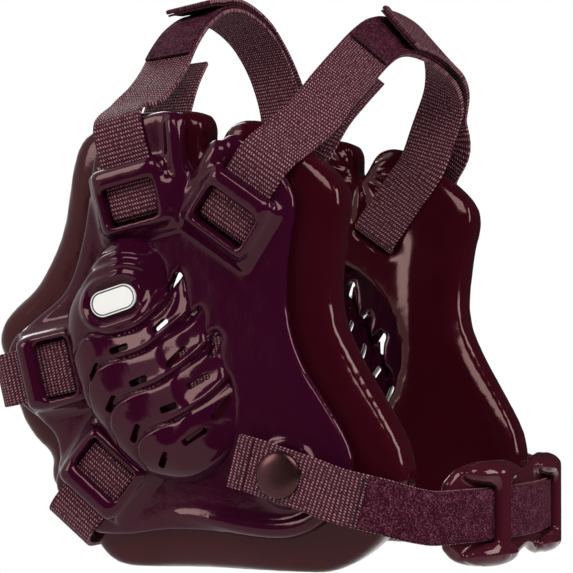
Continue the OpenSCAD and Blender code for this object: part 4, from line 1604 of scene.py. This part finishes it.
@dataclass
class Straps:
    """The webbing between the cups: two crown straps, two back straps and their tapes."""

    cup: EarCup
    width: float = 19.0
    thickness: float = 1.6
    pile: float = 0.9
    hook: float = 0.7
    gap: float = 0.3
    inset: float = 1.4
    inner: float = -14.7
    outer: float = 13.8
    thread: float = -5.2
    tip_lift: float = 2.6
    tip_rows: float = 8.0
    steps: int = 6
    bend_from: float = 45.0
    bend_to: float = 60.0

    @property
    def pile_off(self) -> float:
        """Distance of the pile's middle from the webbing's middle."""
        return self.thickness / 2 + self.gap + self.pile / 2

    @property
    def hook_off(self) -> float:
        """Distance of the hook tape's middle from the webbing's middle."""
        return self.pile_off + self.pile / 2 + self.gap + self.hook / 2

    @property
    def tail_off(self) -> float:
        """Distance of the tail's middle from the webbing's middle."""
        return self.hook_off + self.hook / 2 + self.gap + self.thickness / 2

    def spans(self, table: tuple[Reach, ...]) -> list[list[float]]:
        """Rows between the cups from a path's table."""
        place = self.cup.place
        return [
            [x * place.half, place.back + y, place.height + z, 0, b, c] for x, y, z, b, c in table
        ]

    def on_loop(self, side: Side, loop: Loop, places: list[Point]) -> list[list[float]]:
        """Rows on one cup, each at a place along a loop's line and a height.

        Args:
            side: the side of the cup.
            loop: the strap loop.
            places: pairs of a place on the loop's line and a height.

        Returns:
            The rows.
        """
        turn, cant = math.radians(loop.turn), math.radians(self.cup.place.cant)
        across = [
            -side.value * math.cos(turn) * math.sin(cant), -math.sin(turn),
            -math.cos(turn) * math.cos(cant),
        ]
        return [
            self.cup.place.point(side, loop.u + a * math.cos(turn), loop.v + a * math.sin(turn), w)
            + across
            for a, w in places
        ]

    def cup_run(self, over: tuple[Point, ...]) -> list[Point]:
        """A strap's way inside a cup, out through its slot, under the bridge and on."""
        a, wi, wo = self.thread, self.inner, self.outer
        return [
            (19, wi), (12, wi), (5, wi), (0, wi), (a + 2.4, wi + 0.3), (a + 1.1, wi + 1.2),
            (a + 0.2, wi + 2.8), (a, wi + 6), (a, 0), (a, wo - 6), (a + 0.2, wo - 2.8),
            (a + 1.1, wo - 1.2), (a + 2.4, wo - 0.3), (0, wo), (5, wo), (10, wo), (16, wo),
            *[(place, wo + drop) for place, drop in over],
        ]

    def lifted(self, path: Rows, x: float, off: float) -> list[float]:
        """The row at place x of a path, lifted along the band's normal.

        Args:
            path: the rows of the path.
            x: the place, counted in rows.
            off: the distance from the webbing's middle.

        Returns:
            The lifted row.
        """
        i = int(x)
        row = path[i] + (x - i) * (path[i + 1] - path[i])
        run = path[i + 1][:3] - path[i - 1][:3]
        run /= np.linalg.norm(run)
        b = path[i][3:] - (path[i][3:] @ run) * run
        b /= np.linalg.norm(b)
        return [*(row[:3] + off * np.cross(b, run)), *b]

    def crown_rows(self, path: CrownPath) -> tuple[Rows, Rows]:
        """A crown strap's whole path and the run over the top that carries its tail.

        Args:
            path: the strap's path.

        Returns:
            The rows of both.
        """
        loop, arc = self.cup.loops[path.loop], self.spans(path.arc)
        top = open_curve(np.array(arc[path.carries[0]:path.carries[1]]), 4)
        run = self.cup_run(path.over)
        entry = (path.entry[0], self.inner + path.entry[1])
        rows = self.spans(path.start) + self.on_loop(Side.RIGHT, loop, run) + arc
        rows += self.on_loop(Side.LEFT, loop, [entry, *run]) + self.spans((path.back,))
        rows += [self.lifted(top, x, self.tail_off + off) for x, off in path.rise]
        return open_curve(np.array(rows), self.steps), top

    def back_rows(self, path: BackPath) -> Rows:
        """A back strap's path, the same on both sides.

        Args:
            path: the strap's path.

        Returns:
            The rows.
        """
        half = self.on_loop(Side.RIGHT, self.cup.loops[path.loop], self.cup_run(path.over))
        half += self.spans(path.middle)
        mirror = np.array([-1, 1, 1, -1, 1, 1])
        other = [list(np.array(row) * mirror) for row in reversed(half)]
        return open_curve(np.array(half + other), self.steps)

    def strap(self, word: str, rows: Rows, finishes: Palette) -> Piece:
        """One webbing strap from cup to cup.

        Args:
            word: the first part of its names.
            rows: the rows of its path.
            finishes: the materials.

        Returns:
            The mesh object.
        """
        piece = Band(f"{word}_webbing", rows, self.width, self.thickness).build()
        dress(piece, finishes.webbing)
        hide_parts(f"{word}_strap")
        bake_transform(piece)
        return piece

    def tape(
        self, name: str, rows: Rows, thick: float, off: float, finish: bpy.types.Material
    ) -> Piece:
        """One fastening tape on a strap.

        Args:
            name: the object's name.
            rows: the rows of its path.
            thick: its thickness.
            off: the distance from the webbing's middle.
            finish: its material.

        Returns:
            The mesh object.
        """
        piece = Band(name, rows, self.width - self.inset, thick, off, 0.1).build()
        dress(piece, finish)
        return piece

    def raised(self, rows: Rows) -> Rows:
        """A tail's rows with its free tip standing off.

        Args:
            rows: the rows as they lie flat, the free tip first.

        Returns:
            The rows with the tip raised.
        """
        normal = Band("flap", rows, self.width, self.thickness).frames()[2]
        lift = self.tip_lift * (1 - step_up(np.arange(len(rows)) / self.tip_rows))
        return np.hstack([rows[:, :3] + normal * lift[:, None], rows[:, 3:]])

    def crown(self, path: CrownPath, finishes: Palette) -> list[Piece]:
        """A crown strap with its loop pile, its tail and the tail's hook tape.

        Args:
            path: the strap's path and the places of its tapes.
            finishes: the materials.

        Returns:
            The pieces.
        """
        rows, top = self.crown_rows(path)
        word = path.word
        made = [self.strap(f"{word}_crown", rows, finishes)]
        pile, tail, hook = (
            open_curve(top[first:last + 1], 3) for first, last in (path.pile, path.tail, path.hook)
        )
        loops = self.tape(f"{word}_loop_pile", pile, self.pile, self.pile_off, finishes.loops)
        assign(loops, "pile_maroon", "right_cup", f"{word}_loop_patch")
        hooks = self.tape(
            f"{word}_hook_tape", self.raised(hook), self.hook, self.hook_off, finishes.hooks
        )
        assign(hooks, "hook_maroon", f"{word}_tail", f"{word}_hook_patch")
        sizes = (self.width, self.thickness, self.tail_off)
        flap = Band(f"{word}_tail_webbing", self.raised(tail), *sizes).build()
        dress(flap, finishes.webbing)
        assign(flap, "webbing_maroon", f"{word}_tail", f"{word}_crown_tail")
        band = Band("seam", pile, self.width - self.inset, self.pile)
        made += [loops, hooks, flap]
        for k, row in enumerate((0, 2)):
            level = self.pile_off + self.pile / 2
            seam = stitch_row(f"{word}_pile_stitches_{k}", band, row, level)
            dress(seam, finishes.thread)
            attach(seam, "right_cup")
            made.append(seam)
        return made

    def build(self, finishes: Palette) -> list[Piece]:
        """Make every strap between the cups."""
        made = self.crown(FRONT, finishes) + self.crown(REAR, finishes)
        return made + [self.strap(path.word, self.back_rows(path), finishes) for path in BACK]


# ---------------------------------------------------------------- chin strap


@dataclass
class Chin:
    """The chin strap with its snaps, its tab and the chin cup."""

    straps: Straps
    radius: float = 150.0
    level: float = 19.0
    strap_x: float = 90.937
    snap_y: float = -28.6
    snap_z: float = 34.187
    back: float = 22.4
    middle_y: float = 60.2
    plate: float = 3.4
    bar: float = 4.0
    bar_at: float = 12.7
    lobes: tuple[Point, ...] = (
        (-23, 9), (-22.2, 12.8), (-20.2, 16), (-16.5, 18), (-12.5, 18.5), (-8, 18.2), (-4.5, 16.8),
        (-2, 15), (0, 14.3), (2, 15), (4.5, 16.8), (8, 18.2), (12.5, 18.5), (16.5, 18),
        (20.2, 16), (22.2, 12.8), (23, 9),
    )

    def arc(self, angle: float, z: float, extra: float = 0.0) -> list[float]:
        """A row on the strap's arc, or on one further out.

        Args:
            angle: the angle from the chin's middle, in degrees.
            z: the height of the row.
            extra: how much further out the row lies.

        Returns:
            The row.
        """
        turn = math.radians(angle)
        reach = self.radius + extra
        return [reach * math.sin(turn), self.middle_y - reach * math.cos(turn), z, 0, 0, 1]

    def side_rows(self, side: Side) -> list[list[float]]:
        """The rows from behind a snap to the front of the pad.

        Args:
            side: the side of the cup.

        Returns:
            The rows.
        """
        x, s, z, y = self.strap_x, side.value, self.snap_z, self.back
        low = self.level
        return [
            [s * x, y - 34.5, z + 4.6, 0, -0.2, 0.97], [s * x, y - 43, z + 2.4, 0, -0.25, 0.96],
            [s * x, y - 51, z, 0, -0.27, 0.96], [s * x, y - 61, z - 3, 0, -0.27, 0.96],
            [s * (x - 0.4), y - 71, z - 6.4, 0, -0.22, 0.97],
            [s * (x - 2.6), y - 79.5, low + 6.6, 0, -0.16, 0.98],
            [s * (x - 7.5), y - 85.8, low + 4.6, 0, -0.1, 0.99],
        ]

    def strap_rows(self) -> Rows:
        """The chin strap's path from behind the right snap to its free end.

        Returns:
            The rows.
        """
        low = self.level
        rows = self.side_rows(Side.RIGHT) + [self.arc(-31, low + 2.4), self.arc(-28, low + 0.8)]
        rows += [self.arc(i * 5.1, low) for i in range(-5, 6)]
        rows += [self.arc(28, low + 0.8), self.arc(31, low + 2.4)]
        return open_curve(np.array(rows), 6)

    def tab_rows(self) -> Rows:
        """The left tab's path from behind its snap to its free end over the strap.

        Returns:
            The rows.
        """
        x, y, low, z = self.strap_x, self.back, self.level, self.snap_z
        off = self.straps.tail_off
        rows = self.side_rows(Side.LEFT)[:4] + [
            [x + 0.4, y - 72, z - 6.4, 0, -0.22, 0.97],
            [x - 0.8, y - 81.5, low + 6.6, 0, -0.16, 0.98],
            [x - 4.6, y - 89, low + 4.4, 0, -0.1, 0.99],
            self.arc(31, low + 2.2, off), self.arc(28.5, low + 0.9, off), self.arc(26.2, low, off),
        ]
        return open_curve(np.array(rows), 6)

    def hook_rows(self) -> Rows:
        """The path of the hook tape under the tab.

        Returns:
            The rows.
        """
        off = self.straps.hook_off
        rows = [
            self.arc(angle, self.level + max(0, angle - 27) * 0.55, off)
            for angle in (30.6, 28.8, 27, 25.8)
        ]
        return open_curve(np.array(rows), 6)

    def cup_form(self, name: str) -> Piece:
        """The two-lobed chin cup: a plate with bars over the strap, bent to the strap's arc.

        Args:
            name: the object's name.

        Returns:
            The mesh object.
        """
        flat = [(math.radians(a) * self.radius, h) for a, h in self.lobes]
        outline = [tuple(p) for p in np.array(flat[::-1] + [(x, -h) for x, h in flat])]
        plate_top = -self.straps.thickness / 2 - 0.5
        plate = prism("plate", closed_curve(outline, 3), plate_top - self.plate, plate_top)
        round_plate(plate, 1.5, 3)
        bar_low = self.straps.pile_off + self.straps.pile / 2 - 0.7
        top, edge, rim = bar_low + self.bar, self.straps.width / 2 + 0.7, 17.4
        parts = [plate]
        for side in (-1, 1):
            x = side * math.radians(self.bar_at) * self.radius
            size = (7.4, 33, self.bar + 0.5)
            parts.append(block("bar", size, (x, 0, bar_low + self.bar / 2), 0, 2.2, 5))
            for rail in (-1, 1):
                middle = (x, rail * (edge + rim) / 2, (top + plate_top) / 2 - 0.9)
                size = (7.6, rim - edge, top - plate_top)
                parts.append(block("post", size, middle, 0, 1.7, 4))
                for y, level, half in (
                    (14.3, plate_top + 1.2, (19, 4.2, 3.0)), (13.9, top - 5.0, (15.5, 4.3, 4.9)),
                    (12.0, top - 2.5, (7.5, 3.2, 2.4)),
                ):
                    parts.append(ellipsoid((x, rail * y, level), half))
        piece = joined(name, parts)
        remesh(piece, 0.6, 12)
        points = coords(piece)
        radius = self.radius * MM
        turn, reach = points[:, 0] / radius, radius + points[:, 2]
        place = np.column_stack([
            reach * np.sin(turn), self.middle_y * MM - reach * np.cos(turn),
            self.level * MM + points[:, 1],
        ])
        set_coords(piece, place)
        outwards(piece)
        smooth(piece, 60)
        return piece

    def cap_form(self, side: Side) -> Piece:
        """A snap's domed cap.

        Args:
            side: the side of the cup.

        Returns:
            The mesh object.
        """
        piece = lathe(f"{side.word}_snap_button", [
            (0, 0), (7.6, 0), (8.0, 0.25), (8.0, 0.8), (7.7, 1.25), (6.6, 1.75), (4.6, 2.05),
            (2.2, 2.18), (0, 2.2),
        ], 64)
        piece.rotation_euler = (0, math.radians(90 * side.value), 0)
        start = self.strap_x + self.straps.thickness / 2 + 0.04
        piece.location = (side.value * start * MM, self.snap_y * MM, self.snap_z * MM)
        settle(piece)
        smooth(piece, 60)
        return piece

    def build(self, finishes: Palette) -> list[Piece]:
        """Make the chin strap's pieces.

        Args:
            finishes: the materials.

        Returns:
            The pieces.
        """
        straps, rows = self.straps, self.strap_rows()
        wide, thick, narrow = straps.width, straps.thickness, straps.width - straps.inset
        webbing, loops, hooks, cap = finishes.webbing, finishes.loops, finishes.hooks, finishes.cap
        bands = (
            (Band("chin_webbing", rows, wide, thick), webbing,
             "webbing_maroon", "chin_strap", "chin_strap"),
            (Band("chin_loop_pile", rows[30:], narrow, straps.pile, -straps.pile_off), loops,
             "pile_maroon", "chin_strap", "chin_loop_patch"),
            (Band("left_tab_webbing", self.tab_rows(), wide, thick), webbing,
             "webbing_maroon", "left_tab", "left_chin_tab"),
            (Band("left_tab_hooks", self.hook_rows(), narrow, straps.hook), hooks,
             "hook_maroon", "left_tab", "left_chin_hook"),
        )
        table = [(band.build(), *rest) for band, *rest in bands]
        table += [
            (self.cup_form("chin_cup_moulding"), finishes.chin,
             "vinyl_cover", "chin_cup", "chin_cup"),
            (self.cap_form(Side.RIGHT), cap, "cap_brown", "chin_strap", "right_snap_cap"),
            (self.cap_form(Side.LEFT), cap, "cap_brown", "left_snap", "left_snap_cap"),
        ]
        for piece, finish, slot, body, node_name in table:
            dress(piece, finish)
            assign(piece, slot, body, node_name)
        return [row[0] for row in table] + self.sewing(rows, finishes)

    def sewing(self, rows: Rows, finishes: Palette) -> list[Piece]:
        """The chin strap's folded rear end and its rows of stitches.

        Args:
            rows: the rows of the chin strap's path.
            finishes: the materials.

        Returns:
            The pieces.
        """
        straps = self.straps
        outside = -straps.thickness / 2
        fold = Band("chin_folded_end", rows[:5], straps.width - 0.4, 1.0, outside - 0.4).build()
        dress(fold, finishes.webbing)
        made = [fold]
        band = Band("seam", rows, straps.width, straps.thickness)
        for k, (row, level) in enumerate(((3, outside - 0.9), (29, outside), (31, outside - 0.8))):
            seam = stitch_row(f"chin_stitches_{k}", band, row, level)
            dress(seam, finishes.thread)
            made.append(seam)
        for piece in made:
            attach(piece, "chin_strap")
        return made


# -------------------------------------------------------------------- studio


@dataclass
class Studio:
    """The camera, the lamps and the pale floor."""

    eye: Triple = (-0.8857, -0.3457, 0.0812)
    target: Triple = (0.04414, 0.0224, 0.10015)
    focal: float = 2545.2
    image: int = 573
    sensor: float = 36.0
    diffuse: float = 0.38
    mirror_low: float = 0.02
    mirror_high: float = 1.0
    mirror_from: float = 0.39
    mirror_to: float = 0.47
    floor_radius: float = 0.42
    floor_drop: float = 0.045
    lamps: tuple[tuple[str, Triple, Point, float], ...] = (
        ("Key", (-0.75, -0.55, 0.85), (0.85, 0.55), 11.0),
        ("Fill", (-0.9, 0.6, 0.5), (0.3, 0.6), 4.0),
        ("Front", (0.25, -1.0, 0.45), (0.4, 0.6), 6.0),
        ("Back", (0.6, 0.7, 0.8), (0.5, 0.5), 5.0),
    )

    def camera(self) -> None:
        """Place the camera at the photograph's view."""
        data = bpy.data.cameras.new("View")
        data.lens = self.focal / self.image * self.sensor
        data.sensor_width = self.sensor
        view = bpy.data.objects.new("View", data)
        bpy.context.scene.collection.objects.link(view)
        view.location = self.eye
        aim = Vector(self.target) - Vector(self.eye)
        view.rotation_euler = aim.to_track_quat("-Z", "Y").to_euler()
        bpy.context.scene.camera = view

    def lamp(self, name: str, at: Triple, size: Point, power: float) -> None:
        """One soft lamp aimed at the headgear's middle.

        Args:
            name: the lamp's name.
            at: its place, in metres.
            size: its two lengths, in metres.
            power: its power, in watts.
        """
        data = bpy.data.lights.new(name, "AREA")
        data.shape = "RECTANGLE"
        data.size, data.size_y = size
        data.energy = power
        lamp = bpy.data.objects.new(name, data)
        bpy.context.scene.collection.objects.link(lamp)
        lamp.location = at
        aim = Vector((0, 0, 0.1)) - Vector(at)
        lamp.rotation_euler = aim.to_track_quat("-Z", "Y").to_euler()

    def seen(self, ray: bpy.types.Node, *more: str) -> Socket:
        """Whether a ray comes from the camera, through glass or of some other kinds.

        Args:
            ray: the Light Path node.
            more: the names of the other kinds.

        Returns:
            A socket that is 1 where it does.
        """
        found = ray.outputs["Is Camera Ray"]
        for kind in ("Is Transmission Ray", *more):
            found = maths(ray.id_data, "MAXIMUM", found, ray.outputs[kind])
        return found

    def floor(self) -> None:
        """The plain pale floor, low enough to leave room for the chin strap's lower limit.

        It is white to the camera, glass and gloss, and a plain surface to the rest.
        """
        deselect()
        bpy.ops.mesh.primitive_circle_add(vertices=96, radius=self.floor_radius, fill_type="NGON")
        floor = bpy.context.object
        floor.name = "Floor"
        floor.location = (0, 0, -self.floor_drop)
        settle(floor)
        material, tree, shader = new_material("Pale floor")
        preset(shader, {"Base Color": (0.9, 0.9, 0.9, 1), "Roughness": 0.9})
        white = node(tree, "Emission", {0: (1, 1, 1, 1), 1: 1.0})
        seen = self.seen(node(tree, "LightPath"), "Is Glossy Ray")
        mix = node(tree, "MixShader", {0: seen, 1: shader.outputs[0], 2: white.outputs[0]})
        tree.links.new(mix.outputs[0], tree.nodes["Material Output"].inputs[0])
        dress(floor, material)

    def world(self) -> None:
        """A white surround for the camera and a plain soft level for the rest."""
        world = bpy.data.worlds.new("Studio")
        bpy.context.scene.world = world
        world.use_nodes = True
        world.cycles.sampling_method = "NONE"
        tree = world.node_tree
        own = tree.nodes["Background"]
        ray = node(tree, "LightPath")
        place = node(tree, "SeparateXYZ", {0: node(tree, "TexCoord").outputs["Generated"]})
        soft = node(tree, "MapRange", {
            0: place.outputs[1], 1: self.mirror_from, 2: self.mirror_to,
            3: self.mirror_low, 4: self.mirror_high,
        }, interpolation_type="SMOOTHSTEP")
        level = node(
            tree, "Mix", {0: ray.outputs["Is Glossy Ray"], 2: self.diffuse, 3: soft.outputs[0]}
        )
        own.inputs[0].default_value = (1.0, 0.95, 0.94, 1)
        tree.links.new(level.outputs[0], own.inputs[1])
        seen = self.seen(ray)
        white = node(tree, "Background", {0: (1, 1, 1, 1), 1: 1.0})
        mix = node(tree, "MixShader", {0: seen, 1: own.outputs[0], 2: white.outputs[0]})
        tree.links.new(mix.outputs[0], tree.nodes["World Output"].inputs[0])

    def build(self) -> None:
        """Set the whole studio up."""
        bpy.context.scene.view_settings.view_transform = "Standard"
        self.camera()
        self.floor()
        self.world()
        for lamp in self.lamps:
            self.lamp(*lamp)


def main() -> None:
    """Build the studio and the headgear."""
    logging.basicConfig(level=logging.INFO, format="%(name)s: %(message)s")
    Studio().build()
    finishes = Palette()
    cup = EarCup()
    straps = Straps(cup)
    made = cup.build(finishes) + straps.build(finishes) + Chin(straps).build(finishes)
    hidden = {
        "guard": finishes.insert, "snap_stud": finishes.steel, "snap_socket": finishes.steel
    }
    for word, finish in hidden.items():
        for side in Side:
            dress(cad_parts[f"{side.word}_{word}"], finish)
    for piece in made:
        log.info("%s: %d faces", piece.name, len(piece.data.polygons))


if __name__ == "__main__":
    main()
